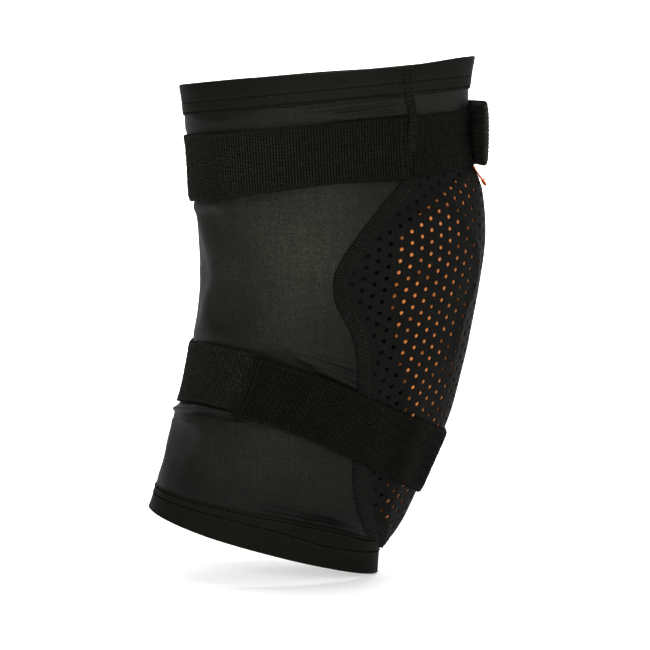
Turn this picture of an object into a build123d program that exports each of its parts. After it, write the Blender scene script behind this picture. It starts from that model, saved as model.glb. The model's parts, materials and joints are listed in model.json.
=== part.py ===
"""Soft knee guard for the right leg: a pre-bent stretch sleeve with a perforated
front panel over a moulded impact pad, two hook-and-loop straps, folded hems with
silicone grip rings and flatlock side seams.

Frame: millimetres, +Z up the thigh, -Y is the front (kneecap side), -X is the outer
side of a right leg. The origin is the middle of the leg at knee height.

The sleeve is described by fifteen leg sections, at stations 0 (top rim) to 14 (bottom
rim). Each section lies in a plane through a back point and a front point. Every layer
is a wall between two offsets of that surface, cut to its outline by prisms along X.
Heights are measured outward from the sleeve surface; angles are degrees from the
front, negative on the outer side.
"""

import math
import os

from build123d import *

os.makedirs("parts", exist_ok=True)

# ---------------------------------------------------------------- leg surface
# one row per station: back y, back z, front y, front z, half width
SECTIONS = [
    (95.2, 108.6, -79.9, 125.7, 58),
    (93.9, 87.8, -77.5, 103.7, 57.5),
    (91.5, 68.3, -76.3, 83.6, 57),
    (90.3, 47.0, -76.9, 62.2, 56.5),
    (88.5, 30.5, -78.1, 42.7, 56),
    (86.6, 10.4, -78.1, 14.6, 55.5),
    (85.4, -7.9, -75.6, -7.9, 55),
    (87.2, -30.5, -71.4, -34.2, 54.5),
    (90.3, -50.6, -65.3, -59.8, 54),
    (95.2, -75.0, -58.6, -86.6, 53.5),
    (100.0, -91.5, -50.6, -108.6, 53),
    (103.7, -106.1, -41.5, -130.5, 52),
    (109.8, -126.9, -31.7, -152.5, 50),
    (114.1, -141.5, -25.0, -169.6, 48),
    (116.5, -149.5, -22.0, -189.7, 46),
]
LAST = 14.0             # station of the bottom rim
PANEL_START = 2.0       # first station of the front panel, lining and pad walls
EGG = 0.08              # how much each section narrows at the front and widens at the back
RING_POINTS = 24        # points round each section

# ---------------------------------------------------------------- driving dimensions
FABRIC_T = 1.2          # stretch fabric panels
LINING_T = 1.0          # pocket lining
COVER_T = 1.3           # perforated front panel
COVER_LIFT = 0.6        # inner face of the perforated panel over the sleeve, off the pad
PAD_DEPTH = 8.5         # thickest point of the impact pad, over the kneecap
STRAP_W = 38.0          # strap width
STRAP_T = 2.0           # strap thickness
HOOK_T = 1.0            # upper hook patch thickness
GAP = 0.3               # clearance between separate layers

# (outer, inner) face heights of each layer over its base surface
PANEL_FACES = (0.0, -FABRIC_T)
LINING_FACES = (-GAP, -GAP - LINING_T)
HEM_FACES = (1.1, -1.3)
HEM_THREAD_FACES = (1.8, 1.4)
GRIP_FACES = (-1.6, -2.3)
SEAM_FACES = (0.95, 0.3)
COVER_FACES = (COVER_LIFT + COVER_T, COVER_LIFT)
COVER_SEAM_FACES = tuple(COVER_LIFT + COVER_T + height for height in SEAM_FACES)
LANDING_FACES = (0.85 + 1.2, 0.85)
LOOP_FACES = (1.9, 0.35)
STRAP_FACES = (STRAP_T, 0.0)
TACK_FACES = (STRAP_T + 0.7, STRAP_T + 0.2)
LOWER_HOOK_FACES = (-0.15, -0.15 - 0.8)

# the pad solid: inner face height, then outer face as a base height plus a share of pad_height
PAD_INNER = 0.3
PAD_BASE = 0.45
PAD_SHARE = 0.95

# tables by station: (stations, values)
# angular half extent of the pad, degrees
PAD_ANGLE = (
    [2.9, 3.2, 3.6, 4.0, 4.5, 5.0, 6.0, 7.0, 8.0, 9.0, 10.0, 11.0, 12.0, 12.6, 12.9, 13.4],
    [3, 10, 27, 41, 56, 64, 65, 61, 53, 43, 38, 34, 27, 18, 12, 5],
)
# thickness of the pad on its centre line
PAD_CENTRE = (
    [0, 2.6, 3.0, 3.3, 3.7, 4.0, 5.0, 6.0, 7.0, 8.0, 9.0, 10.0, 11.0, 12.0, 12.6, 13.0, 13.4, 14.0],
    [0, 0, 0.2, 2.6, 5.4, 6.8, PAD_DEPTH, 8.3, 7.8, 8.0, 7.7, 7.3, 6.5, 6.2, 4.6, 2.4, 0.5, 0],
)
# angle of the side seam, degrees
SEAM_ANGLE = (
    [0.0, 0.8, 1.6, 2.5, 3.4, 4.1, 4.7, 5.3, 5.9, 6.4, 6.7, 7.2,
     7.7, 8.4, 9.3, 10.2, 10.7, 11.5, 11.9, 12.6, 13.2, 13.4, 14.0],
    [58.8, 57.2, 54.2, 55.2, 60.0, 70.0, 79.2, 86.0, 89.2, 88.2, 85.2, 79.2,
     74.8, 71.2, 66.8, 62.8, 60.0, 52.5, 45.8, 31.8, 13.2, 2.0, 1.0],
)

# outlines in the side view, as (y, z)
SEAM = [
    (-38.0, 140), (-37.7, 120.9), (-38.4, 104.4), (-41.4, 88.1), (-40.4, 69.4), (-36.3, 50.6),
    (-23.9, 35.7), (-11.2, 19.8), (-2.2, 5.8), (2.9, -6.6), (2.7, -17.2), (-0.4, -25.6),
    (-6.2, -37.4), (-9.7, -49.9), (-10.8, -66.2), (-10.3, -90.3), (-8.6, -108.6),
    (-8.2, -118.4), (-9.4, -136.7), (-11.8, -147.2), (-17.5, -161.9), (-23.9, -171.5),
    (-30.0, -178.0), (-40, -186),
]
PAD_EDGE = [
    (-70, 57.5), (-62.7, 50), (-57.2, 39.7), (-46.7, 32.8), (-35.0, 24.8), (-29.5, 16.9),
    (-28.6, -6.8), (-29.2, -30.7), (-32.8, -48.6), (-37.2, -70.1), (-32.7, -97.8),
    (-25.6, -127.4), (-24.7, -141.6), (-25.5, -154.9), (-28.0, -162.3), (-40.0, -166.5),
]
UPPER_TOP = [
    (112, 75.6), (92.5, 77.3), (65, 79.8), (41, 82.2), (6, 85.6), (-45, 90), (-77, 93),
    (-105, 95.4),
]
UPPER_BOTTOM = [
    (-105, 60.9), (-79, 58), (-59, 55.4), (-35, 52.6), (6, 48.2), (41, 43.6), (65, 40.6),
    (92, 37.5), (112, 35.3),
]
LOWER_TOP = [
    (120, -51.5), (98, -48.6), (78, -47.4), (65, -48.4), (49.3, -51.6), (23.6, -59.1),
    (3.3, -67.1), (-17.4, -77.7), (-45.1, -92.5), (-61.8, -103.2), (-95, -126),
]
LOWER_BOTTOM = [
    (-95, -172), (-45.5, -139.9), (-24.5, -125.1), (-3.6, -112), (17, -101.6), (40, -93.3),
    (62.6, -86.8), (84, -84), (98, -85), (120, -88.5),
]

REACH = 120             # length of the cutting prisms to each side of the side view
VIEW_Y = 150            # side-view bands run from y = -VIEW_Y to y = VIEW_Y
VIEW_BOTTOM = (-260, -260)


# ---------------------------------------------------------------- surface of the leg
def spline_of(values):
    """Natural cubic spline through values at 0, 1, 2 ..."""
    count = len(values)
    factor, rest, bend = [0.0] * count, [0.0] * count, [0.0] * count
    for i in range(1, count - 1):
        pivot = 4.0 - factor[i - 1]
        factor[i] = 1.0 / pivot
        second = values[i + 1] - 2 * values[i] + values[i - 1]
        rest[i] = (6.0 * second - rest[i - 1]) / pivot
    for i in range(count - 2, 0, -1):
        bend[i] = rest[i] - factor[i] * bend[i + 1]

    def at(station):
        i = min(max(int(math.floor(station)), 0), count - 2)
        before, after = i + 1 - station, station - i
        return (
            bend[i] * before**3 / 6
            + bend[i + 1] * after**3 / 6
            + (values[i] - bend[i] / 6) * before
            + (values[i + 1] - bend[i + 1] / 6) * after
        )

    return at


back_y, back_z, front_y, front_z, half_width = (spline_of(column) for column in zip(*SECTIONS))


def table(columns, x):
    """Linear interpolation in (stations, values), held constant past both ends."""
    xs, ys = columns
    if x <= xs[0]:
        return ys[0]
    for i in range(1, len(xs)):
        if x <= xs[i]:
            return ys[i - 1] + (ys[i] - ys[i - 1]) * (x - xs[i - 1]) / (xs[i] - xs[i - 1])
    return ys[-1]


def ease(start, end, x):
    """Smooth step from 0 at start to 1 at end."""
    t = min(max((x - start) / (end - start), 0.0), 1.0)
    return t * t * (3 - 2 * t)


def sleeve(angle, station):
    """Height of the bare sleeve surface."""
    return 0.0


def pad_height(angle, station):
    """Nominal thickness of the pad: a rounded edge step plus a central dome."""
    share = abs(angle) / max(table(PAD_ANGLE, station), 1.0)
    edge = 0.62 * (1 - ease(0.85, 1.3, share))
    dome = 0.38 * (1 - ease(0.2, 0.8, share))
    return table(PAD_CENTRE, station) * (edge + dome)


def pad_face(angle, station):
    """Outer face of the pad solid, just under the perforated panel."""
    return PAD_BASE + pad_height(angle, station) * PAD_SHARE


def cover_outer(angle, station):
    """Face of the perforated panel, falling to 0 above it and behind the side seam."""
    seam = table(SEAM_ANGLE, station)
    height = pad_height(angle, station) + COVER_T + COVER_LIFT
    return height * ease(1.9, 2.45, station) * (1 - ease(seam + 4, seam + 22, abs(angle)))


def strap_height(angle, station):
    """Inner face of the upper strap: on the leg behind, one layer up over the landing band."""
    return cover_outer(angle, station) + 0.7 + 2.2 * (1 - ease(56, 74, abs(angle)))


def wrap_height(angle, station):
    """Inner face of the lower strap: over the panel in front, over the loop band outside."""
    return cover_outer(angle, station) + 0.6 + 2.6 * (1 - ease(-76, -56, angle))


def section(station):
    """The plane of a section: x across the leg, y from front to back."""
    by, bz, fy, fz = back_y(station), back_z(station), front_y(station), front_z(station)
    depth = math.hypot(by - fy, bz - fz)
    run_y, run_z = (by - fy) / depth, (bz - fz) / depth
    middle = (0, (by + fy) / 2, (bz + fz) / 2)
    return Plane(origin=middle, x_dir=(1, 0, 0), z_dir=(0, -run_z, run_y))


def ring(station, height):
    """Points round a section, moved outward by height(angle, station)."""
    half_x = half_width(station)
    half_y = math.hypot(
        back_y(station) - front_y(station), back_z(station) - front_z(station)
    ) / 2
    points = []
    for k in range(RING_POINTS):
        angle = -180 + 360 * k / RING_POINTS
        sin, cos = math.sin(math.radians(angle)), math.cos(math.radians(angle))
        x, y = half_x * sin * (1 - EGG * cos), -half_y * cos
        # tangent, then a step along the outward normal
        dx, dy = half_x * (cos * (1 - EGG * cos) + EGG * sin * sin), half_y * sin
        length = math.hypot(dx, dy)
        offset = height(angle, station)
        points.append((x + offset * dy / length, y - offset * dx / length))
    return points


# ---------------------------------------------------------------- walls
def wall(outer, inner, first=0.0, last=LAST, step=0.5):
    """A closed tube between two height functions, from station first to last."""
    count = round((last - first) / step) + 1
    even = [k / RING_POINTS for k in range(RING_POINTS + 1)]
    with BuildPart() as tube:
        for height, mode in ((outer, Mode.ADD), (inner, Mode.SUBTRACT)):
            for i in range(count):
                station = first + step * i
                points = [Vector(*p) for p in ring(station, height)]
                with BuildSketch(section(station)):
                    with BuildLine():
                        add(Edge.make_spline(points, periodic=True, parameters=even))
                    make_face()
            loft(mode=mode)
    return tube.part


def raised(base, lift):
    """The height function base, moved outward by lift."""
    return lambda angle, station: base(angle, station) + lift


def layer(faces, base=sleeve, first=0.0, last=LAST, step=0.5):
    """A wall between the two heights faces=(outer, inner) over the base surface."""
    outer, inner = faces
    return wall(raised(base, outer), raised(base, inner), first, last, step)


# ---------------------------------------------------------------- side-view lines
def shifted(points, dx, dy):
    return [(x + dx, y + dy) for x, y in points]


def rim_line(station, y):
    """z at y on the line through a section's back and front points."""
    share = (y - front_y(station)) / (back_y(station) - front_y(station))
    return front_z(station) + share * (back_z(station) - front_z(station))


def below_rim(station, drop):
    """A line parallel to a section, drop mm down the leg, as z at both ends of the view."""
    z_front, z_back = rim_line(station, -VIEW_Y), rim_line(station, VIEW_Y)
    slope = math.atan2(z_back - z_front, 2 * VIEW_Y)
    return lifted((z_front, z_back), -drop / math.cos(slope))


def lifted(line, rise):
    return (line[0] + rise, line[1] + rise)


def between(top, bottom):
    """Outline of the side-view region under the line top and over the line bottom."""
    return [(-VIEW_Y, bottom[0]), (VIEW_Y, bottom[1]), (VIEW_Y, top[1]), (-VIEW_Y, top[0])]


# ---------------------------------------------------------------- cutting
def polygon_zone(*points):
    with BuildPart() as zone:
        with BuildSketch(Plane.YZ):
            Polygon(*points, align=None)
        extrude(amount=REACH, both=True)
    return zone.part


def curve_zone(curve, *corners):
    """Prism bounded by a spline through curve and straight lines through corners."""
    with BuildPart() as zone:
        with BuildSketch(Plane.YZ):
            with BuildLine():
                Spline(*curve)
                Polyline(curve[-1], *corners, curve[0])
            make_face()
        extrude(amount=REACH, both=True)
    return zone.part


def strap_zone(top, bottom):
    """Prism between two splines, top running forward and bottom running back."""
    with BuildPart() as zone:
        with BuildSketch(Plane.YZ):
            with BuildLine():
                Spline(*top)
                Line(top[-1], bottom[0])
                Spline(*bottom)
                Line(bottom[-1], top[0])
            make_face()
        extrude(amount=REACH, both=True)
    return zone.part


def cut(solid, *zones, without=()):
    """What of solid lies in every zone and outside those in without."""
    with BuildPart() as piece:
        add(solid)
        for zone in zones:
            add(zone, mode=Mode.INTERSECT)
        for zone in without:
            add(zone, mode=Mode.SUBTRACT)
    return piece.part


def outline_cut(solid, zones, outlines, amount=REACH, both=True):
    """Solid cut to the zones, then to side-view polygons; amount < 0 keeps the outer side."""
    with BuildPart() as piece:
        add(solid)
        for zone in zones:
            add(zone, mode=Mode.INTERSECT)
        with BuildSketch(Plane.YZ):
            for outline in outlines:
                Polygon(*outline, align=None)
        extrude(amount=amount, both=both, mode=Mode.INTERSECT)
    return piece.part


def save(name, part):
    part.label = name
    export_step(part, f"parts/{name}.step")


# ---------------------------------------------------------------- zones beside the seam
front_zone = curve_zone(SEAM, (-150, -250), (-150, 160))
rear_zone = curve_zone(shifted(SEAM, GAP, 0), (-40, -260), (160, -260), (160, 160))

# strip just ahead of the seam line: the front half of a band centred on it
SEAM_STRIP_W = 7.5
with BuildPart() as seam_strip:
    with BuildSketch(Plane.YZ):
        with BuildLine():
            Spline(*SEAM)
        trace(line_width=2 * SEAM_STRIP_W)
    extrude(amount=REACH, both=True)
    add(front_zone, mode=Mode.INTERSECT)
seam_zone = seam_strip.part

# ---------------------------------------------------------------- zones about the knee axis
PIVOT_Y = 3.7           # the knee axis runs along X at this y and z = 0
FLEX_Y = 200            # the zones reach this far to the front and back
SPLIT = 0.2             # half the gap between neighbouring zones, along z
# slopes of the splits in the side view, degrees
THIGH_FRONT, THIGH_BACK = 8, 20
CALF_FRONT, CALF_BACK = 30, -27


def split_point(y, slope, rise):
    """Point at y on a line with this slope, through rise over the knee axis."""
    return (y, rise + (y - PIVOT_Y) * math.tan(math.radians(slope)))


thigh_zone = polygon_zone(
    (PIVOT_Y, SPLIT), split_point(-FLEX_Y, THIGH_FRONT, SPLIT),
    (-FLEX_Y, 250), (FLEX_Y, 250), split_point(FLEX_Y, THIGH_BACK, SPLIT),
)
calf_zone = polygon_zone(
    (PIVOT_Y, -SPLIT), split_point(-FLEX_Y, CALF_FRONT, -SPLIT),
    (-FLEX_Y, -300), (FLEX_Y, -300), split_point(FLEX_Y, CALF_BACK, -SPLIT),
)
flex_front_zone = polygon_zone(
    (PIVOT_Y - 2.2, -0.75),
    split_point(-FLEX_Y, THIGH_FRONT, -SPLIT), split_point(-FLEX_Y, CALF_FRONT, SPLIT),
)
flex_back_zone = polygon_zone(
    (PIVOT_Y + 2.2, -0.15),
    split_point(FLEX_Y, THIGH_BACK, -SPLIT), split_point(FLEX_Y, CALF_BACK, SPLIT),
)

# ---------------------------------------------------------------- zones along the leg
TOP_END = (140, 140)
TOP_HEM_LINE = below_rim(0, 19.0)
BOTTOM_RIM = below_rim(14, 0)
BOTTOM_HEM_LINE = lifted(BOTTOM_RIM, 23.5)
# top edge of the perforated panel: through y = -35, z = 59.5, falling to the back
COVER_TOP = tuple(59.5 - 0.13 * (y + 35) for y in (-VIEW_Y, VIEW_Y))

top_hem_zone = polygon_zone(*between(TOP_END, TOP_HEM_LINE))
bottom_hem_zone = polygon_zone(*between(BOTTOM_HEM_LINE, VIEW_BOTTOM))
# the panels' zone, between the two hems
body_zone = polygon_zone(*between(lifted(TOP_HEM_LINE, -GAP), lifted(BOTTOM_HEM_LINE, GAP)))
# the plain yoke above the perforated panel, and everything under it
yoke_zone = polygon_zone(*between(TOP_END, lifted(COVER_TOP, GAP)))
cover_zone = polygon_zone(*between(COVER_TOP, VIEW_BOTTOM))

pad_zone = curve_zone(PAD_EDGE, (-120, -166.5), (-120, 57.5))
upper_strap_zone = strap_zone(UPPER_TOP, UPPER_BOTTOM)
lower_strap_zone = strap_zone(LOWER_TOP, LOWER_BOTTOM)

# ---------------------------------------------------------------- walls shared by pieces
panel_wall = layer(PANEL_FACES, step=1.0)
lining_wall = layer(LINING_FACES, first=PANEL_START, step=1.0)
cover_wall = layer(COVER_FACES, pad_height, first=PANEL_START)
pad_wall = wall(pad_face, raised(sleeve, PAD_INNER), first=PANEL_START)
hem_wall = layer(HEM_FACES, step=1.0)
hem_thread_wall = layer(HEM_THREAD_FACES, step=1.0)
grip_wall = layer(GRIP_FACES, step=1.0)
cover_seam_wall = layer(COVER_SEAM_FACES, pad_height, first=PANEL_START)

# ---------------------------------------------------------------- thigh half
save("upper_rear_panel", cut(panel_wall, rear_zone, thigh_zone, body_zone))
save("upper_front_yoke", cut(panel_wall, front_zone, yoke_zone, body_zone))
save("upper_perforated_cover", cut(cover_wall, front_zone, thigh_zone, cover_zone))
save("upper_pocket_lining", cut(lining_wall, front_zone, thigh_zone, cover_zone))
save("impact_pad_knee_cup", cut(pad_wall, pad_zone, thigh_zone))

# flatlock seam thread down both sides of the thigh half, clear of the strap
STRAP_BAND_TOP = [(-100, 96.7), (20, 85.3)]
STRAP_BAND_BOTTOM = [(20, 45.2), (-100, 59.2)]
strap_band_zone = polygon_zone(*STRAP_BAND_TOP, *STRAP_BAND_BOTTOM)
above_strap_zone = polygon_zone(*shifted(STRAP_BAND_TOP, 0, 0.5), (20, 200), (-100, 200))
seams_below_strap = cut(
    cover_seam_wall, seam_zone, thigh_zone, without=(strap_band_zone, above_strap_zone)
)
seams_by_hem = cut(
    layer(SEAM_FACES, last=3.0, step=1.0), seam_zone, body_zone, above_strap_zone
)
with BuildPart() as upper_side_seams:
    add(seams_below_strap)
    add(seams_by_hem)
save("upper_side_seams", upper_side_seams.part)

# ---------------------------------------------------------------- knee flex zone
save("knee_rear_panel", cut(panel_wall, flex_back_zone))
save("knee_perforated_cover", cut(cover_wall, flex_front_zone))
save("knee_pocket_lining", cut(lining_wall, flex_front_zone))
save("impact_pad_flex_bridge", cut(pad_wall, pad_zone, flex_front_zone))

# ---------------------------------------------------------------- calf half
SEAM_MARGIN = 1.5       # seam thread stops this far above and below the lower strap

save("lower_rear_panel", cut(panel_wall, rear_zone, calf_zone, body_zone))
save("lower_perforated_cover", cut(cover_wall, front_zone, calf_zone, body_zone))
save("lower_pocket_lining", cut(lining_wall, front_zone, calf_zone, body_zone))
save("impact_pad_shin", cut(pad_wall, pad_zone, calf_zone, body_zone))

around_lower_strap = strap_zone(
    shifted(LOWER_TOP, 0, SEAM_MARGIN), shifted(LOWER_BOTTOM, 0, -SEAM_MARGIN)
)
save("lower_side_seams", cut(
    cover_seam_wall, seam_zone, calf_zone, body_zone, without=(around_lower_strap,)
))

# ---------------------------------------------------------------- hems
THREAD_W = 0.8          # width of a row of thread
GRIP_W = 2.2            # width of a silicone ring
# distance of each ring from its rim: down from the top, up from the bottom
TOP_THREADS = (12.1, 17.6)
TOP_GRIPS = (2.5, 6.5, 10.5)
BOTTOM_THREADS = (15.4, 22.0)
BOTTOM_GRIPS = (3.0, 7.0, 11.0)


def top_rings(solid, drops, width):
    bands = [between(below_rim(0, drop), below_rim(0, drop + width)) for drop in drops]
    return outline_cut(solid, (), bands)


def bottom_rings(solid, rises, width):
    bands = [
        between(lifted(BOTTOM_RIM, rise + width), lifted(BOTTOM_RIM, rise)) for rise in rises
    ]
    return outline_cut(solid, (), bands)


save("top_hem_rear", cut(hem_wall, rear_zone, top_hem_zone))
save("top_hem_front", cut(hem_wall, front_zone, top_hem_zone))
save("top_hem_stitching", top_rings(hem_thread_wall, TOP_THREADS, THREAD_W))
save("top_grip_silicone", top_rings(grip_wall, TOP_GRIPS, GRIP_W))
save("bottom_hem", cut(hem_wall, bottom_hem_zone))
save("bottom_hem_stitching", bottom_rings(hem_thread_wall, BOTTOM_THREADS, THREAD_W))
save("bottom_grip_silicone", bottom_rings(grip_wall, BOTTOM_GRIPS, GRIP_W))

# ---------------------------------------------------------------- upper strap
UPPER_SPAN = dict(first=0.5, last=5.0)      # stations of the upper strap's walls
ROOT_X = 20.0           # where the free end leaves the leg, on the inner front
STRAP_FRONT_Y = -40.2   # ahead of this the strap is cut away from the outer side to the root
LANDING_Y = -40.8       # the landing band lies ahead of this

upper_wall = layer(STRAP_FACES, strap_height, **UPPER_SPAN)
with BuildPart() as upper_strap:
    add(upper_wall)
    add(upper_strap_zone, mode=Mode.INTERSECT)
    with Locations((ROOT_X + 0.7, STRAP_FRONT_Y, 70)):
        Box(200, 120, 120, align=(Align.MAX, Align.MAX, Align.CENTER), mode=Mode.SUBTRACT)
save("upper_strap", upper_strap.part)

landing_wall = layer(LANDING_FACES, cover_outer, **UPPER_SPAN)
with BuildPart() as upper_landing_band:
    add(landing_wall)
    add(upper_strap_zone, mode=Mode.INTERSECT)
    with Locations((0, LANDING_Y, 70)):
        Box(200, 120, 120, align=(Align.CENTER, Align.MAX, Align.CENTER), mode=Mode.INTERSECT)
save("upper_landing_band", upper_landing_band.part)

# thread over the strap where it is sewn into the outer side seam
upper_tack_wall = layer(TACK_FACES, strap_height, **UPPER_SPAN)
with BuildPart() as upper_strap_tack:
    add(upper_tack_wall)
    add(upper_strap_zone, mode=Mode.INTERSECT)
    with Locations((-50, -36.5, 70)):
        Box(100, 7, 60, mode=Mode.INTERSECT)
save("upper_strap_tack", upper_strap_tack.part)

# the free end stands off the front: a tongue from the root to the tip, seen along its width
STRAP_TILT = math.radians(1.0)
TONGUE_PLANE = Plane(
    origin=(0, -83.0, 78.0),
    x_dir=(1, 0, 0),
    z_dir=(0, math.sin(STRAP_TILT), math.cos(STRAP_TILT)),
)
# middle of the tongue as (x, y) in its plane, y from the plane's origin, + to the back
TONGUE = [(ROOT_X, 6.5), (15.0, 3.4), (9.0, 0.5), (2.0, -1.9), (-6.0, -4.3), (-14.5, -6.6)]
PATCH = [(7.0, -0.3)] + TONGUE[3:]


def tongue_slab(front, back, half_height):
    """A curved strip between two splines in the tongue's plane."""
    with BuildPart() as slab:
        with BuildSketch(TONGUE_PLANE):
            with BuildLine():
                front_edge = Spline(*front)
                back_edge = Spline(*back)
                Line(front_edge @ 0, back_edge @ 0)
                Line(front_edge @ 1, back_edge @ 1)
            make_face()
        extrude(amount=half_height, both=True)
    return slab.part


save("upper_strap_end", tongue_slab(
    shifted(TONGUE, -0.35, -1.0), shifted(TONGUE, 0.35, 0.95), STRAP_W / 2 + 1
))
save("upper_hook_patch", tongue_slab(
    shifted(PATCH, 0.42, 1.15), shifted(PATCH, 0.75, 1.15 + HOOK_T), STRAP_W / 2 - 0.5
))

# folded ribbon tab under the strap, at the front: side-view profile as (y, z)
RIBBON = [
    (-83.4, 56.0), (-85.6, 51.6), (-90.0, 46.6), (-89.2, 45.8), (-84.75, 50.9), (-82.6, 55.6),
]
RIBBON_HALF_W = 8
with BuildPart() as ribbon_tab:
    with BuildSketch(Plane.YZ):
        with BuildLine():
            Polyline(*RIBBON, close=True)
        make_face()
    extrude(amount=RIBBON_HALF_W, both=True)
save("ribbon_tab", ribbon_tab.part)

# ---------------------------------------------------------------- lower strap
LOWER_SPAN = dict(first=7.0, last=12.5)     # stations of the lower strap's walls
RUN_Y, RUN_Z = 0.936, 0.352     # direction of the strap's run towards the tip, side view
ACROSS_REACH = 60               # cut lines reach this far to each side
HINGE_GAP = 0.2                 # half the gap at each hinge line
# points on the hinge lines of the peeling end, on the outer side, as (y, z)
HINGE_A = (10.0, -83.5)
HINGE_B = (34.0, -75.5)
INNER_END_Y = -11.8             # the strap ends here on the inner side
TACK_LEAD, TACK_W = 0.8, 7      # the tack starts this far ahead of that end, and its width


def cut_line(point, shift):
    """Top and bottom of the across-strap line through point, moved shift towards the tip."""
    y, z = point[0] + shift * RUN_Y, point[1] + shift * RUN_Z
    dy, dz = ACROSS_REACH * RUN_Z, ACROSS_REACH * RUN_Y
    return (y - dy, z + dz), (y + dy, z - dz)


A_TOP, A_BOTTOM = cut_line(HINGE_A, -HINGE_GAP)
A2_TOP, A2_BOTTOM = cut_line(HINGE_A, HINGE_GAP)
B_TOP, B_BOTTOM = cut_line(HINGE_B, -HINGE_GAP)
B2_LINE = cut_line(HINGE_B, HINGE_GAP)
# end of the tip: a line through one point of each strap edge, bottom first
TIP_LINE = shifted(LOWER_BOTTOM[6:7], 13.3, -35.2) + shifted(LOWER_TOP[4:5], -13.3, 35.2)

# loop band on the leg, behind the seam
loop_wall = layer(LOOP_FACES, first=7.0, last=12.0)
save("lower_loop_band", cut(loop_wall, lower_strap_zone, rear_zone))

lower_wall = layer(STRAP_FACES, wrap_height, **LOWER_SPAN)
with BuildPart() as lower_strap:
    add(lower_wall)
    add(lower_strap_zone, mode=Mode.INTERSECT)
    with BuildSketch(Plane.YZ):
        Polygon(A_TOP, A_BOTTOM, (-150, -200), (-150, 0), align=None)
    extrude(amount=REACH, both=True, mode=Mode.INTERSECT)
    # clear the inner side behind the strap's end
    with BuildSketch(Plane.YZ):
        Polygon((INNER_END_Y, 0), (INNER_END_Y, -250), (200, -250), (200, 0), align=None)
    extrude(amount=REACH, mode=Mode.SUBTRACT)
save("lower_strap", lower_strap.part)


def lower_strap_piece(solid, outline, amount):
    """Solid cut to the strap's edges and to an outline, on one side of the leg only."""
    return outline_cut(solid, (lower_strap_zone,), (outline,), amount=amount, both=False)


save("lower_strap_peel", lower_strap_piece(
    lower_wall, (A2_TOP, A2_BOTTOM, B_BOTTOM, B_TOP), -REACH
))
save("lower_strap_tip", lower_strap_piece(lower_wall, (*B2_LINE, *TIP_LINE), -REACH))

# hook patch under the tip
save("lower_hook_patch", lower_strap_piece(
    layer(LOWER_HOOK_FACES, wrap_height, **LOWER_SPAN),
    (*shifted(B2_LINE, 1.5, 0), *shifted(TIP_LINE, -1.3, 0)),
    -REACH,
))

# thread over the strap by its inner-side end
tack_back = INNER_END_Y - TACK_LEAD
tack_front = tack_back - TACK_W
save("lower_strap_tack", lower_strap_piece(
    layer(TACK_FACES, wrap_height, **LOWER_SPAN),
    ((tack_back, 0), (tack_back, -250), (tack_front, -250), (tack_front, 0)),
    REACH,
))
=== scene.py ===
import json
import math

import bpy
import numpy as np
from mathutils import Matrix, Vector

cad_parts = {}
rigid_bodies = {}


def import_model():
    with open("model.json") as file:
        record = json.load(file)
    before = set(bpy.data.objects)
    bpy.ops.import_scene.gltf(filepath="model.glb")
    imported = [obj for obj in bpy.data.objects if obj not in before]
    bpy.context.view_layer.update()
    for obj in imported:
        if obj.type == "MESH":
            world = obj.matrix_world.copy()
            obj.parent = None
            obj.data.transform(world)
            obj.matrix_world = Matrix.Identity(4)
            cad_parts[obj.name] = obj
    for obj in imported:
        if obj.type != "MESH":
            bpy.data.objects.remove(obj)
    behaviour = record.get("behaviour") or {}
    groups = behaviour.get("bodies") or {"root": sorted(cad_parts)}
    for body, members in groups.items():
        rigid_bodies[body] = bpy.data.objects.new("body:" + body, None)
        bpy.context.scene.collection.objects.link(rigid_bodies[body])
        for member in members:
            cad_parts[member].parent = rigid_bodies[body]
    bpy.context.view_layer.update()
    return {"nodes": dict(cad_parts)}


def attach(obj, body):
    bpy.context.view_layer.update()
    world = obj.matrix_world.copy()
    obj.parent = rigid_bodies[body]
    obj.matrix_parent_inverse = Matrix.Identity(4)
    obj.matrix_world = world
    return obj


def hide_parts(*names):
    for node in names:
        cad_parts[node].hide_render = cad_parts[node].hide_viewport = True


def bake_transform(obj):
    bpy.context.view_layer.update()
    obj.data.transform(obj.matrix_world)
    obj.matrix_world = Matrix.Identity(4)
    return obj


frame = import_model()
rng = np.random.default_rng(11)

# =====================================================================
# Measured tables. A place on the sleeve is phi (degrees: 0 front, negative towards -X)
# and sec, a section number that may be fractional (0 top rim, 14 bottom rim).
# =====================================================================
# one value per section: back and front points of the outline, and half the width in X
BACK_Y = [95.2, 93.9, 91.5, 90.3, 88.5, 86.6, 85.4, 87.2, 90.3, 95.2, 100.0, 103.7, 109.8,
          114.1, 116.5]
BACK_Z = [108.6, 87.8, 68.3, 47.0, 30.5, 10.4, -7.9, -30.5, -50.6, -75.0, -91.5, -106.1, -126.9,
          -141.5, -149.5]
FRONT_Y = [-79.9, -77.5, -76.3, -76.9, -78.1, -78.1, -75.6, -71.4, -65.3, -58.6, -50.6, -41.5,
           -31.7, -25.0, -22.0]
FRONT_Z = [125.7, 103.7, 83.6, 62.2, 42.7, 14.6, -7.9, -34.2, -59.8, -86.6, -108.6, -130.5,
           -152.5, -169.6, -189.7]
HALF_WIDTH = [58, 57.5, 57, 56.5, 56, 55.5, 55, 54.5, 54, 53.5, 53, 52, 50, 48, 46]
LAST_SECTION = 14.0

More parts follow.
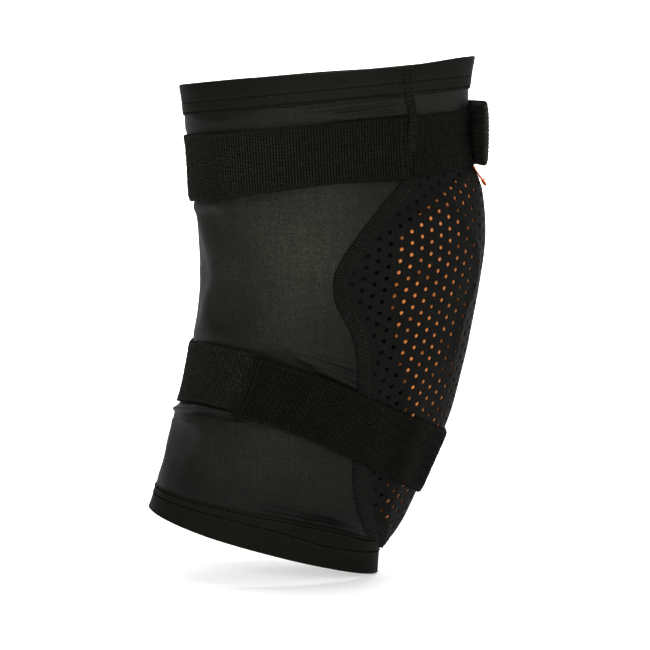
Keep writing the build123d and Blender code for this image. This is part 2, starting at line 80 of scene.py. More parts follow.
# pad: (sections, half angle it spans) and (sections, height on the centre line)
PAD_ANGLE = ([2.9, 3.2, 3.6, 4.0, 4.5, 5.0, 6.0, 7.0, 8.0, 9.0, 10.0, 11.0, 12.0, 12.6, 12.9, 13.4],
             [3, 10, 27, 41, 56, 64, 65, 61, 53, 43, 38, 34, 27, 18, 12, 5])
PAD_CENTRE = ([0, 2.6, 3.0, 3.3, 3.7, 4.0, 5.0, 6.0, 7.0, 8.0, 9.0, 10.0, 11.0, 12.0, 12.6, 13.0,
               13.4, 14.0],
              [0, 0, 0.2, 2.6, 5.4, 6.8, 8.5, 8.3, 7.9, 8.9, 8.9, 8.5, 7.8, 7.6, 6.2, 3.8, 1.2, 0])
# side seams: (sections, angle from the front)
SEAM = ([0.0, 0.79, 1.62, 2.5, 3.44, 4.13, 4.72, 5.32, 5.94, 6.39, 6.72, 7.2, 7.73, 8.36, 9.32,
         10.24, 10.71, 11.48, 11.92, 12.3, 12.65, 12.95, 13.16, 13.28, 13.34],
        [58.8, 57.2, 54.2, 55.2, 60.0, 70.0, 79.2, 86.0, 89.2, 88.2, 85.2, 79.2, 74.8, 71.2, 66.8,
         62.8, 60.0, 52.5, 45.8, 39.5, 31.8, 23.0, 13.2, 6.5, 0.0])
SEAM_END = 13.34       # where the two side seams meet at the front
COVER_TOP = 2.85       # upper edge of the perforated panel
COVER_OUT = 1.5        # perforated panel above the sleeve or pad, mm
CLOTH = 1.1            # thickness of the stretch cloth, mm
STRAP_WIDTH = 38.0
UV_SECTION = 21.0      # texture mm per section

# Creases in the cloth: phi and section of both ends, half width mm, height mm (minus: a dip)
CREASES = (
    # below the top hem: strong behind the outer seam, weaker elsewhere
    (-58, 1.04, -100, 1.12, 1.5, 1.3), (-58, 1.22, -88, 1.34, 1.4, 1.2),
    (-57, 1.46, -88, 1.44, 1.2, 1.1), (-60, 1.14, -92, 1.22, 1.0, -0.7),
    (-60, 1.34, -86, 1.42, 1.0, -0.6), (-112, 1.05, -140, 1.20, 3.0, 0.5),
    (60, 1.10, 92, 1.35, 3.0, 0.8), (100, 1.05, 150, 1.25, 3.0, 0.5),
    (-160, 1.0, -130, 1.3, 3, 0.5),
    # roll of cloth below the rear band, outer side
    (-181, 9.88, -145, 9.46, 2.2, 2.2), (-149, 9.45, -117, 9.45, 1.6, 2.6),
    (-124, 9.44, -104, 9.62, 1.4, 1.8), (-178, 10.16, -145, 9.68, 1.5, -0.7),
    (-149, 9.64, -117, 9.64, 1.2, -0.8), (-122, 9.60, -104, 9.80, 1.1, -0.5),
    (-180, 10.45, -150, 10.1, 2.6, 0.7),
    # above the lower strap, outer side
    (-104, 7.74, -72, 8.12, 1.5, 1.3), (-100, 7.92, -70, 8.42, 1.4, 1.5),
    (-91, 8.18, -68, 8.60, 1.3, 1.2), (-98, 7.84, -71, 8.28, 1.0, -0.8),
    (-92, 8.06, -70, 8.50, 1.0, -0.8),
    # below the rear band, inner side
    (138, 9.62, 176, 9.86, 2.3, 1.8), (110, 9.70, 140, 9.60, 2.2, 0.9),
    # below the lower strap, outer side
    (-116, 9.95, -84, 10.35, 3.0, 0.6), (-84, 10.45, -66, 10.75, 2.6, 0.6),
    # above the rear band
    (-150, 7.45, -118, 7.65, 3.5, 0.7), (-112, 7.55, -84, 8.05, 3.2, 0.8),
    (112, 7.5, 150, 7.6, 3.5, 0.7),
    # below the upper strap
    (-176, 3.85, -140, 3.75, 3.2, 0.8), (-126, 3.75, -95, 3.62, 3.5, 0.6),
    (140, 3.78, 176, 3.86, 3.2, 0.8), (90, 3.6, 126, 3.75, 3.5, 0.6),
    # puckers above the bottom hem
    (-96, 12.36, -64, 12.43, 1.5, 1.3), (-78, 12.40, -52, 12.50, 1.5, 1.7),
    (-62, 12.44, -36, 12.74, 1.4, 1.9), (-74, 12.32, -50, 12.40, 1.0, -0.9),
    (-58, 12.30, -38, 12.52, 1.4, 1.0), (-138, 12.35, -106, 12.40, 2.4, 0.5),
    (-96, 12.22, -70, 12.30, 2.0, -0.7), (-70, 12.26, -50, 12.42, 1.6, -0.8),
    (60, 12.55, 100, 12.5, 2.8, 0.7),
    # behind the knee
    (-178, 5.9, -128, 5.5, 5.5, 0.55), (-176, 6.7, -134, 6.5, 5.5, 0.5),
    (130, 5.5, 178, 5.9, 5.5, 0.55), (134, 6.5, 176, 6.7, 5.5, 0.5),
)


# =====================================================================
# Curves
# =====================================================================
def natural_spline(values):
    """Smooth curve through values at 0, 1, 2 ... that runs straight at its ends."""
    values = np.array(values, float)
    count = len(values)
    system = np.zeros((count, count))
    right = np.zeros(count)
    system[0, 0] = system[-1, -1] = 1
    for i in range(1, count - 1):
        system[i, i - 1:i + 2] = 1, 4, 1
        right[i] = 6 * (values[i + 1] - 2 * values[i] + values[i - 1])
    second = np.linalg.solve(system, right)

    def at(x):
        x = np.asarray(x, float)
        i = np.clip(np.floor(x).astype(int), 0, count - 2)
        before, after = i + 1 - x, x - i
        return (second[i] * before**3 / 6 + second[i + 1] * after**3 / 6
                + (values[i] - second[i] / 6) * before
                + (values[i + 1] - second[i + 1] / 6) * after)

    return at


back_y, back_z, front_y, front_z, half_width = map(
    natural_spline, (BACK_Y, BACK_Z, FRONT_Y, FRONT_Z, HALF_WIDTH))


def ramp(start, end, x):
    """Eased step: 0 at start to 1 at end."""
    t = np.clip((np.asarray(x, float) - start) / (end - start), 0, 1)
    return t * t * (3 - 2 * t)


def bell(x, centre, width):
    return np.exp(-((x - centre) / width) ** 2)


def rounded(depth, radius):
    """Rounds an edge: 0 at the edge to 1 at radius mm in."""
    t = np.clip(np.asarray(depth, float) / radius, 0, 1)
    return np.sqrt(np.maximum(1 - (1 - t) ** 2, 0))


def ripple(x, pitch):
    """0..1 cosine with that pitch."""
    return 0.5 + 0.5 * np.cos(2 * np.pi * x / pitch)


def signed(phi):
    """The angle brought into -180..180."""
    return (np.asarray(phi, float) + 180) % 360 - 180


def from_front(phi):
    return np.abs(signed(phi))


def near_angle(phi, centre, width):
    return bell(signed(phi - centre), 0, width)


def smooth(xs, ys, x):
    """Smooth interpolation that doesn't overshoot."""
    xs, ys = np.array(xs, float), np.array(ys, float)
    gap = np.diff(xs)
    rate = np.diff(ys) / gap
    slope = np.zeros(len(xs))
    slope[0], slope[-1] = rate[0], rate[-1]
    for i in range(1, len(xs) - 1):
        if rate[i - 1] * rate[i] > 0:
            slope[i] = 2 / (1 / rate[i - 1] + 1 / rate[i])
    x = np.clip(x, xs[0], xs[-1])
    i = np.clip(np.searchsorted(xs, x) - 1, 0, len(xs) - 2)
    t = (x - xs[i]) / gap[i]
    return (ys[i] * (1 + 2 * t) * (1 - t) ** 2 + slope[i] * gap[i] * t * (1 - t) ** 2
            + ys[i + 1] * t * t * (3 - 2 * t) + slope[i + 1] * gap[i] * t * t * (t - 1))


def outline(angles, sections):
    """An edge on the sleeve: section by angle from the front, the same on both sides."""
    return lambda phi: smooth(angles, sections, from_front(phi))


def path_length(points):
    """Distance run along the first axis at each point."""
    steps = np.linalg.norm(np.diff(points, axis=0), axis=-1)
    return np.concatenate([np.zeros((1, *steps.shape[1:])), np.cumsum(steps, axis=0)])


def resample(where, length, points):
    return np.stack([np.interp(where, length, points[:, i]) for i in range(3)], 1)


def plane_curve(points, count):
    """Smooth 2D line through points: its stations in mm, its points and its normals."""
    points = np.array(points)
    length = path_length(points)
    station = np.linspace(0, length[-1], count)
    line = np.stack([smooth(length, points[:, i], station) for i in (0, 1)], 1)
    tangent = np.gradient(line, axis=0)
    tangent /= np.linalg.norm(tangent, axis=1, keepdims=True)
    return station, line, np.stack([tangent[:, 1], -tangent[:, 0]], 1)


# edges of the upper strap, of the band behind the calf and of the strap over it
UPPER_TOP = outline([0, 180], [1.55, 1.55])
UPPER_BOTTOM = outline([0, 15, 40, 60, 90, 120, 150, 180],
                       [3.20, 3.23, 3.32, 3.36, 3.28, 3.40, 3.52, 3.59])
BASE_TOP = outline([60, 80, 95, 110, 122, 134, 148, 180],
                   [8.75, 8.50, 8.24, 8.00, 7.88, 7.83, 7.80, 7.89])
BASE_BOTTOM = outline([60, 75, 91, 120, 146, 180], [10.25, 9.98, 9.68, 9.40, 9.30, 9.55])
LOWER_TOP = outline([0, 3.7, 37.5, 64, 81.5, 97.5, 118.5, 135],
                    [9.74, 9.70, 9.22, 8.77, 8.43, 8.18, 7.94, 7.75])
LOWER_BOTTOM = outline([0, 4, 42.5, 65.8, 84, 103, 122.8, 140],
                       [11.38, 11.35, 10.89, 10.44, 10.04, 9.71, 9.46, 9.30])


# =====================================================================
# Surface of the sleeve
# =====================================================================
def seam_angle(sec):
    return smooth(*SEAM, sec)


def pad_height(phi, sec):
    part = np.abs(phi) / np.maximum(smooth(*PAD_ANGLE, sec), 1.0)
    return smooth(*PAD_CENTRE, sec) * (0.62 * (1 - ramp(0.85, 1.3, part))
                                       + 0.38 * (1 - ramp(0.2, 0.8, part)))


cloth_field = None      # mm the cloth stands out by (phi, sec), once it has been settled


def settled(phi, sec):
    if cloth_field is None:
        return 0.0
    columns, rows = cloth_field.shape
    column = (np.asarray(phi, float) % 360) / 360 * columns
    row = np.clip(np.asarray(sec, float) / LAST_SECTION * (rows - 1), 0, rows - 1.001)
    i, j = np.floor(column).astype(int), np.floor(row).astype(int)
    right, down = column - i, row - j

    def across(j):
        return (cloth_field[i % columns, j] * (1 - right)
                + cloth_field[(i + 1) % columns, j] * right)

    return across(j) * (1 - down) + across(j + 1) * down


def rim_flare(phi, sec):
    """The hems curl out a little, most at the back-outer corner, and are never quite round."""
    turn = np.radians(phi)
    wavy = (0.9 * np.cos(turn * 2 + 0.5) + 0.5 * np.sin(turn * 5 + 1.0)
            + 0.35 * np.sin(turn * 9 + 0.4))
    top = 0.5 + 0.35 * wavy + 1.7 * near_angle(phi, 205, 26.0)
    bottom = 0.2 + 0.4 * wavy
    return (1 - ramp(0.0, 0.75, sec)) * top + ramp(13.1, LAST_SECTION, sec) * bottom


def folds(phi, sec):
    """Height of all the creases, on a rough flat map in mm."""
    per_degree, per_section = 1.05, 20
    x, y = signed(phi) * per_degree, np.asarray(sec, float) * per_section
    total = 0.0
    for phi0, sec0, phi1, sec1, width, height in CREASES:
        x0, y0 = phi0 * per_degree, sec0 * per_section
        x1, y1 = phi1 * per_degree, sec1 * per_section
        length = math.hypot(x1 - x0, y1 - y0)
        along = ((x - x0) * (x1 - x0) + (y - y0) * (y1 - y0)) / length**2
        aside = np.abs((x - x0) * (y1 - y0) - (y - y0) * (x1 - x0)) / length
        ends = ramp(-0.12, 0.15, along) * (1 - ramp(0.85, 1.12, along))
        total = total + height * bell(aside, 0, width) * ends
    return total


def skin(phi, sec, off=0.0, cloth=True):
    """Points off mm outside the sleeve; cloth adds the creases and the settled bulges."""
    phi, sec = np.broadcast_arrays(np.asarray(phi, float), np.asarray(sec, float))
    knee_back = 1.3 * bell(sec, 6.0, 1.6) * ramp(110, 150, from_front(phi))
    off = off + rim_flare(phi, sec) + knee_back
    if cloth:
        off = off + (folds(phi, sec) + settled(phi, sec))
    turn = np.radians(phi)
    by, bz, fy, fz = back_y(sec), back_z(sec), front_y(sec), front_z(sec)
    width = half_width(sec)
    depth = np.hypot(by - fy, bz - fz) / 2
    axis_y, axis_z = (by - fy) / (2 * depth), (bz - fz) / (2 * depth)
    # an oval a little wider behind, moved out along its normal
    taper = 0.08
    slope_x = width * (np.cos(turn) * (1 - taper * np.cos(turn)) + taper * np.sin(turn) ** 2)
    slope_y = depth * np.sin(turn)
    norm = np.hypot(slope_x, slope_y)
    x = width * np.sin(turn) * (1 - taper * np.cos(turn)) + off * slope_y / norm
    y = -depth * np.cos(turn) - off * slope_x / norm
    return np.stack([x, (by + fy) / 2 + axis_y * y, (bz + fz) / 2 + axis_z * y], -1)


def surface_scale(phi, sec):
    """Millimetres per degree and per section at each point."""
    def rate(ahead, behind, step):
        gap = skin(*ahead, 0.0, False) - skin(*behind, 0.0, False)
        return np.linalg.norm(gap, axis=-1) / step

    return (rate((phi + 0.2, sec), (phi - 0.2, sec), 0.4),
            rate((phi, sec + 0.01), (phi, sec - 0.01), 0.02))


def between(sec, top, bottom, above, inside, below):
    """1 from top to bottom; fades over above, inside and below (sections) at the edges."""
    return (ramp(top - above, top + inside, sec)
            * (1 - ramp(bottom - inside, bottom + below, sec)))


def lower_edges(phi, switch):
    """Lower strap's edges in front of the switch angle, the rear band's behind it."""
    return (np.where(phi > switch, BASE_TOP(phi), LOWER_TOP(phi)),
            np.where(phi > switch, BASE_BOTTOM(phi), LOWER_BOTTOM(phi)))


def squeeze(phi, sec):
    """How far the straps press the cloth in, in mm (negative)."""
    angle = from_front(phi)
    upper = between(sec, UPPER_TOP(angle), UPPER_BOTTOM(angle), 0.25, 0.12, 0.3)
    lower = between(sec, *lower_edges(angle, 75), 0.3, 0.12, 0.3)
    return -0.7 * upper - 0.9 * lower * ramp(50, 85, angle)


# =====================================================================
# Mesh helpers
# =====================================================================
def make(name, verts, faces, uvs=None, mat=None):
    """Smooth-shaded object from points and UVs in mm."""
    mesh = bpy.data.meshes.new(name)
    verts = np.asarray(verts, float).reshape(-1, 3) * 0.001
    mesh.from_pydata(verts.tolist(), [], [tuple(int(i) for i in face) for face in faces])
    if uvs is not None:
        uvs = np.asarray(uvs, float).reshape(-1, 2) * 0.001
        layer = mesh.uv_layers.new(name="UVMap")
        corners = np.empty(len(mesh.loops), int)
        mesh.loops.foreach_get("vertex_index", corners)
        layer.data.foreach_set("uv", uvs[corners].astype(np.float32).ravel())
    mesh.validate()
    mesh.update()
    ob = bpy.data.objects.new(name, mesh)
    bpy.context.scene.collection.objects.link(ob)
    mesh.shade_smooth()
    if mat:
        mesh.materials.append(mat)
    return ob


def add_attribute(ob, name, values):
    attribute = ob.data.attributes.new(name, "FLOAT", "POINT")
    attribute.data.foreach_set("value", values.astype(np.float32).ravel())


def grid_faces(rows, columns, wrap_rows=False, wrap_columns=False, flip=False):
    row, column = np.meshgrid(np.arange(rows if wrap_rows else rows - 1),
                              np.arange(columns if wrap_columns else columns - 1), indexing="ij")
    row2, column2 = (row + 1) % rows, (column + 1) % columns
    faces = np.stack([row * columns + column, row2 * columns + column,
                      row2 * columns + column2, row * columns + column2], -1).reshape(-1, 4)
    return faces[:, ::-1] if flip else faces


def slab(name, outer, inner, uv, mat, flip=False):
    """A closed sheet between two grids of points; uv is a pair of grids in mm."""
    rows, columns = outer.shape[:2]
    uv = np.stack(uv, -1)
    ring = np.concatenate([outer, inner[:, ::-1]], 1)
    ring_uv = np.concatenate([uv, uv[:, ::-1]], 1)
    around = 2 * columns
    faces = grid_faces(rows, around, wrap_columns=True, flip=flip).tolist()
    for start, reverse in ((0, flip), ((rows - 1) * around, not flip)):
        for i in range(columns - 1):
            quad = [start + i, start + i + 1, start + around - 2 - i, start + around - 1 - i]
            faces.append(quad[::-1] if reverse else quad)
    return make(name, ring, faces, ring_uv, mat)


def sheet(name, phi, sec, outer, inner, uv, mat, flip=False):
    """Slab between two heights over the sleeve."""
    return slab(name, skin(phi, sec, outer), skin(phi, sec, inner), uv, mat, flip)


def tube(path, radius, sides):
    """Verts and faces of a tube through the points of path."""
    path = np.asarray(path, float)
    tangent = np.gradient(path, axis=0)
    tangent /= np.linalg.norm(tangent, axis=1, keepdims=True) + 1e-9
    # any direction the paths never follow
    side = np.cross(tangent, np.array([0.31, 0.22, 0.92]))
    side /= np.linalg.norm(side, axis=1, keepdims=True) + 1e-9
    other = np.cross(tangent, side)
    turn = np.linspace(0, 2 * np.pi, sides, endpoint=False)[None, :, None]
    radius = np.broadcast_to(np.asarray(radius, float), (len(path),))
    verts = path[:, None] + radius[:, None, None] * (side[:, None] * np.cos(turn)
                                                     + other[:, None] * np.sin(turn))
    faces = grid_faces(len(path), sides, wrap_columns=True).tolist()
    faces += [list(range(sides))[::-1], [(len(path) - 1) * sides + i for i in range(sides)]]
    return verts.reshape(-1, 3), faces


class Bag:
    """Gathers many tubes into one object."""

    def __init__(self):
        self.verts, self.faces, self.count = [], [], 0

    def add(self, verts, faces):
        self.verts.append(verts)
        self.faces += [[i + self.count for i in face] for face in faces]
        self.count += len(verts)

    def done(self, name, mat):
        return make(name, np.concatenate(self.verts), self.faces, np.zeros((self.count, 2)), mat)


def stitches(bag, path, outward, length, radius, lift, sink, gap=0.6):
    """Separate stitches along a dense path; each one dips into the cloth at both ends."""
    run = path_length(path)
    arch = np.sin(np.linspace(0, np.pi, 6))
    start = 0.0
    while start + length < run[-1]:
        where = np.linspace(start, start + length, 6)
        line = resample(where, run, path)
        line = line + resample(where, run, outward) * (lift * arch - sink * (1 - arch))[:, None]
        bag.add(*tube(line, radius * (0.65 + 0.35 * arch), 5))
        start += length + gap


def sew(bag, phi, sec, off, **thread):
    """Stitches on a line off mm above the sleeve."""
    path = skin(phi, sec, off)
    stitches(bag, path, skin(phi, sec, off + 1.0) - path, **thread)


def hooks(bag, points, normals, leans, height=1.1):
    """A small bent hook at each point, standing along its normal and tipping over."""
    for point, normal, lean in zip(points, normals, leans):
        path = [point + normal * height * up + lean * height * over
                for up, over in ((0, 0), (0.55, 0), (0.95, 0.18), (0.92, 0.5), (0.62, 0.62))]
        bag.add(*tube(path, 0.13 * np.array([1.25, 1, 1, 0.9, 0.7]), 4))


# =====================================================================
# Materials
# =====================================================================
def operator(kind, swap=False):
    def apply(value, other):
        pair = (other, value) if swap else (value, other)
        return value.shader.math(kind, *pair)

    return apply


class Value:
    """A number in a shader; arithmetic on it adds Math nodes."""

    def __init__(self, shader, socket):
        self.shader, self.socket = shader, socket

    __add__ = operator("ADD")
    __sub__ = operator("SUBTRACT")
    __rsub__ = operator("SUBTRACT", swap=True)
    __mul__ = operator("MULTIPLY")
    __truediv__ = operator("DIVIDE")
    __pow__ = operator("POWER")
    __rpow__ = operator("POWER", swap=True)

    def math(self, kind, *others, clamp=False):
        return self.shader.math(kind, self, *others, clamp=clamp)

    def line(self, gain, base):
        """gain * self + base"""
        return self.math("MULTIPLY_ADD", gain, base)


class Shader:
    """A new material, with short ways to add nodes to it. Lengths are in mm."""

    def __init__(self, name):
        self.material = bpy.data.materials.new(name)
        self.material.use_nodes = True
        self.tree = self.material.node_tree
        self.bsdf = self.tree.nodes["Principled BSDF"]

    def feed(self, node, inputs):
        for key, source in inputs.items():
            source = getattr(source, "socket", source)
            if isinstance(source, bpy.types.NodeSocket):
                self.tree.links.new(source, node.inputs[key])
            else:
                node.inputs[key].default_value = source

    def node(self, kind, inputs=None, **settings):
        node = self.tree.nodes.new(kind)
        for key, setting in settings.items():
            setattr(node, key, setting)
        self.feed(node, inputs or {})
        return node

    def value(self, node, output=0):
        return Value(self, node.outputs[output])

    def math(self, kind, *inputs, clamp=False):
        return self.value(self.node("ShaderNodeMath", dict(enumerate(inputs)),
                                    operation=kind, use_clamp=clamp))

    def uv(self):
        place = self.node("ShaderNodeUVMap", uv_map="UVMap").outputs[0]
        split = self.node("ShaderNodeSeparateXYZ", {0: place})
        return self.value(split, 0) * 1000.0, self.value(split, 1) * 1000.0

    def noise(self, scale, detail=3.0, rough=0.6, stretch=(1, 1, 1)):
        place = self.node("ShaderNodeTexCoord").outputs["Object"]
        place = self.node("ShaderNodeMapping", {"Vector": place, "Scale": stretch}).outputs[0]
        return self.value(self.node("ShaderNodeTexNoise", {
            "Scale": scale, "Detail": detail, "Roughness": rough, "Vector": place}), "Fac")

    def wave(self, x, pitch, phase=None):
        """0..1 cosine of x with that pitch."""
        turn = x * (2 * math.pi / pitch)
        if phase is not None:
            turn = turn + phase
        return turn.math("COSINE").line(0.5, 0.5)

    def attribute(self, name):
        return self.value(self.node("ShaderNodeAttribute", attribute_name=name), "Fac")

    def remap(self, x, low, high, to_low, to_high):
        return self.value(self.node(
            "ShaderNodeMapRange", {0: x, 1: low, 2: high, 3: to_low, 4: to_high}))

    def painted_light_gain(self, near, far):
        """Painted highlight and shade: gain near where the surface faces the eye, far at grazing."""
        weight = self.node("ShaderNodeLayerWeight", {"Blend": 0.5})
        return (self.value(weight, "Facing") ** 0.8).line(far - near, near)

    def tint(self, color, tone):
        return self.node("ShaderNodeVectorMath", {0: color, "Scale": tone},
                         operation="SCALE").outputs[0]

    def bump(self, height, distance, strength, normal=None):
        """Relief; distance in metres."""
        inputs = {"Distance": distance, "Strength": strength, "Height": height}
        if normal is not None:
            inputs["Normal"] = normal
        return self.node("ShaderNodeBump", inputs).outputs[0]

    def finish(self, color, rough, normal=None, sheen=0.0, sheen_rough=0.5, spec=0.5):
        inputs = {"Base Color": color, "Roughness": rough, "Sheen Weight": sheen,
                  "Sheen Roughness": sheen_rough, "Sheen Tint": (1, 1, 1, 1),
                  "Specular IOR Level": spec}
        if normal is not None:
            inputs["Normal"] = normal
        self.feed(self.bsdf, inputs)
        return self.material


def knit(name, color, painted_light_gain=None, rough=0.62, wale=0.95, course=0.75, spec=0.14,
         depth=0.00008, grain=0.45, stretch=False):
    """Fine warp knit: V-shaped loops (wale across, course along) with slow variation, lint."""
    shader = Shader(name)
    x, y = shader.uv()
    slant = ((x / wale).math("FRACT") - 0.5).math("ABSOLUTE")
    loops = (shader.wave(x, wale).line(0.55, 0.45)
             * shader.wave(y + slant * (course * 1.4), course))
    broad = shader.noise(55.0, 4.0, 0.6)
    fine = shader.noise(900.0, 2.0, 0.5)
    tone = broad.line(0.25, 0.875) * loops.line(0.35, 0.8)
    tone = tone * fine.line(grain * 2.6, 1 - grain * 1.3)
    # streaks along the wales and rows along the courses: noise stretch, strength
    for shape, scale, gain in (((1.0, 5.0, 0.45), 95.0, 1.4), ((1.0, 0.25, 5.0), 160.0, 1.2)):
        streak = shader.noise(scale, 4.0, 0.65, shape)
        tone = tone * streak.line(0.75 * grain * gain, 1 - 0.37 * grain * gain)
    # painted highlight toward the eye, painted shade at grazing
    if painted_light_gain:
        tone = tone * shader.painted_light_gain(*painted_light_gain)
    # painted highlight and shade read from the stretch attribute
    if stretch:
        tone = tone * shader.attribute("stretch")
    normal = shader.bump(loops, depth, 0.55)
    normal = shader.bump(shader.noise(320.0, 3.0, 0.6), 0.00025, 0.35, normal)
    return shader.finish(shader.tint(color, tone), shader.remap(broad, 0, 1, rough - 0.06, rough + 0.06),
                         normal, sheen_rough=0.45, spec=spec)


def pile(name, color, pitch=1.75, dash=1.9, contrast=1.0, selvedge=1.7, painted_shade_fade=None):
    """Brushed loops: tufts on ribs (pitch) broken into dashes, with plain selvedges.

    The last argument paints shade along the strap: (x where it is darkest, x where it ends, gain at the
    darkest)."""
    shader = Shader(name)
    fuzz = shader.noise(1400.0, 4.0, 0.75)
    clump = shader.noise(420.0)
    tone = fuzz.line(1.1, 0.4) * shader.noise(38.0).line(0.5, 0.75)
    x, y = shader.uv()
    # each rib's dashes start at their own phase
    rib_phase = (x / pitch).math("ROUND") * math.pi
    drift = shader.noise(210.0)
    tuft = shader.wave(y, dash, drift.line(16.0, rib_phase * 0.35))
    lump = shader.noise(560.0, 3.0, 0.75)
    crown = shader.wave(x, pitch) * tuft.line(0.62, 0.38) * lump.line(3.4, -0.7)
    crown = crown.math("MAXIMUM", 0.0)
    middle = (y.math("GREATER_THAN", selvedge)
              * y.math("LESS_THAN", STRAP_WIDTH - selvedge))
    edge = shader.wave(x, 1.3).line(1.1, 0.9)
    tone = tone * (middle * crown.line(4.1 * contrast, 1.0 - 0.90 * contrast)
                   + (1.0 - middle) * edge)
    # painted shade towards one end of the strap
    if painted_shade_fade:
        start, end, dark = painted_shade_fade
        tone = tone * shader.remap(x, start, end, dark, 1.0)
    normal = shader.bump(fuzz + clump * 0.8, 0.0003, 0.8)
    normal = shader.bump(crown, 0.0006, 0.9, normal)
    return shader.finish(shader.tint(color, tone), 0.85, normal, sheen_rough=0.6, spec=0.06)


def hem_cloth(name, color, painted_light_gain, painted_edge_shadow=0.5):
    """Doubled knit with needle holes along the two sewn rows, a painted highlight on the cloth puffed
    beside them and a painted shadow line along the turned edge.
    """
    shader = Shader(name)
    x, y = shader.uv()
    loops = shader.wave(x, 0.95).line(0.55, 0.45) * shader.wave(y, 0.8)
    tone = shader.noise(60.0, 4.0, 0.6).line(0.5, 0.75) * loops.line(0.35, 0.8)
    tone = tone * shader.noise(800.0, 3.0, 0.6).line(1.44, 0.28)
    # painted highlight toward the eye, painted shade at grazing
    tone = tone * shader.painted_light_gain(*painted_light_gain)

    def near_row(row, width):
        part = shader.attribute(row) / width
        return 2.718 ** (part * part * -1.0)

    def near_rows(width):
        return near_row("row_a", width).math("ADD", near_row("row_b", width), clamp=True)

    dash = shader.wave(x, 2.0)
    holes = near_rows(0.62) * (dash * dash).line(0.10, 0.12)
    # painted highlight on the cloth puffed beside the rows
    puff = near_rows(2.4)
    tone = tone * puff.line(0.38, 0.95) * (1.0 - holes)
    # painted shadow line along the hem's edge step
    tone = tone * (1.0 - near_row("row_e", 0.7) * painted_edge_shadow)
    normal = shader.bump(loops, 0.00008, 0.5)
    normal = shader.bump(1.0 - holes, 0.0005, 0.8, normal)
    return shader.finish(shader.tint(color, tone), 0.7, normal, spec=0.06)


def plain(name, color, rough, grain_scale, depth, spec, vary=0.3):
    """Even, slightly mottled stuff; vary is the strength of the mottling."""
    shader = Shader(name)
    grain = shader.noise(grain_scale, 4.0, 0.6)
    broad = shader.noise(45.0, 3.0, 0.5)
    tone = grain.line(vary, 1 - vary / 2) * broad.line(vary, 1 - vary / 2)
    return shader.finish(shader.tint(color, tone), shader.remap(broad, 0, 1, rough - 0.08, rough + 0.08),
                         shader.bump(grain, depth, 0.6), spec=spec)


def pad_foam():
    shader = Shader("pad_foam")
    pores = shader.noise(700.0, 4.0, 0.7)
    tone = pores.line(0.35, 0.82) * shader.noise(40.0, 3.0, 0.5).line(0.3, 0.85)
    return shader.finish(shader.tint((0.77, 0.245, 0.050), tone), 0.6,
                         shader.bump(pores, 0.0002, 0.5), sheen=0.1, spec=0.3)


def ribbon_weave():
    shader = Shader("ribbon")
    x, y = shader.uv()
    weave = shader.wave(x, 0.6) * shader.wave(y, 0.45)
    tone = weave.line(0.35, 0.8) * shader.noise(200.0).line(0.3, 0.85)
    return shader.finish(shader.tint((0.80, 0.150, 0.010), tone), 0.45,
                         shader.bump(weave, 0.00008, 0.7), spec=0.15)


def overlock(name, color):
    """Looper threads crossing the seam, with needle rows along both edges."""
    shader = Shader(name)
    x, y = shader.uv()
    wander = (x * 0.9 + y * 0.8).math("SINE") * 0.45
    loops = shader.wave(x + wander + y * 0.35, 1.45)
    back = shader.wave(x - y * 0.75, 2.9)
    dash = shader.wave(x, 2.6)
    near_row, far_row = ((y - row).math("ABSOLUTE").math("LESS_THAN", 0.5) for row in (0.6, 6.3))
    fuzz = shader.noise(800.0, 4.0, 0.75)
    tone = (loops * loops).line(1.25, 0.22) + back * 0.25
    tone = tone + (near_row + far_row) * dash * 0.7
    tone = tone * fuzz.line(2.6, -0.3)
    normal = shader.bump(loops, 0.0005, 0.8)
    normal = shader.bump(fuzz, 0.0002, 0.6, normal)
    return shader.finish(shader.tint(color, tone), 0.75, normal, spec=0.08)


# painted highlight and shade from the view angle: (gain toward the eye, gain at grazing); stretch=True
# adds the painted highlight and shade of the stretch attribute
REAR_KNIT = knit("stretch_knit", color=(0.0170, 0.0165, 0.0110), painted_light_gain=(1.45, 0.0), grain=1.15,
                 stretch=True)
YOKE_KNIT = knit("yoke_knit", color=(0.0060, 0.0063, 0.0040), painted_light_gain=(1.35, 0.3), grain=0.7)
HEM_TOP = hem_cloth("hem_knit", color=(0.0054, 0.0056, 0.0038), painted_light_gain=(1.3, 0.45))
COVER_KNIT = knit("perforated_knit", color=(0.0033, 0.0033, 0.0028), grain=0.7, rough=0.75,
                  wale=1.1, course=1.0, depth=0.00012, spec=0.08)
LINING_MESH = knit("lining_mesh", color=(0.0060, 0.0060, 0.0055), rough=0.8, wale=1.4,
                   course=1.4, spec=0.05)
# painted shade on the upper strap, darkest at its tacked end by the outer seam
STRAP = pile("loop_strap", color=(0.0060, 0.0061, 0.0044), painted_shade_fade=(10.0, 110.0, 0.54))
TONGUE = pile("loop_strap_end", color=(0.0110, 0.0110, 0.0086))
LANDING = pile("landing_loop", color=(0.0029, 0.0030, 0.0022), pitch=1.7, dash=1.7,
               contrast=1.08)
BASE_LOOP = pile("base_loop", color=(0.0060, 0.0061, 0.0046))
OVERLAY = pile("overlay_strap", color=(0.0029, 0.0029, 0.0022), pitch=1.7, dash=1.8,
               selvedge=1.5)
HOOK_TAPE = plain("hook_tape", color=(0.0120, 0.0120, 0.0100), rough=0.7, grain_scale=900.0,
                  depth=0.0006, vary=1.5, spec=0.08)
THREAD = plain("thread", color=(0.0100, 0.0101, 0.0080), rough=0.6, grain_scale=1500.0,
               depth=0.0001, spec=0.12)
SILICONE = plain("silicone", color=(0.030, 0.030, 0.031), rough=0.32, grain_scale=500.0,
                 depth=0.00005, spec=0.5)
PAD_FOAM = pad_foam()
RIBBON = ribbon_weave()
SEAM_THREAD = overlock("seam_thread", color=(0.0060, 0.0060, 0.0049))
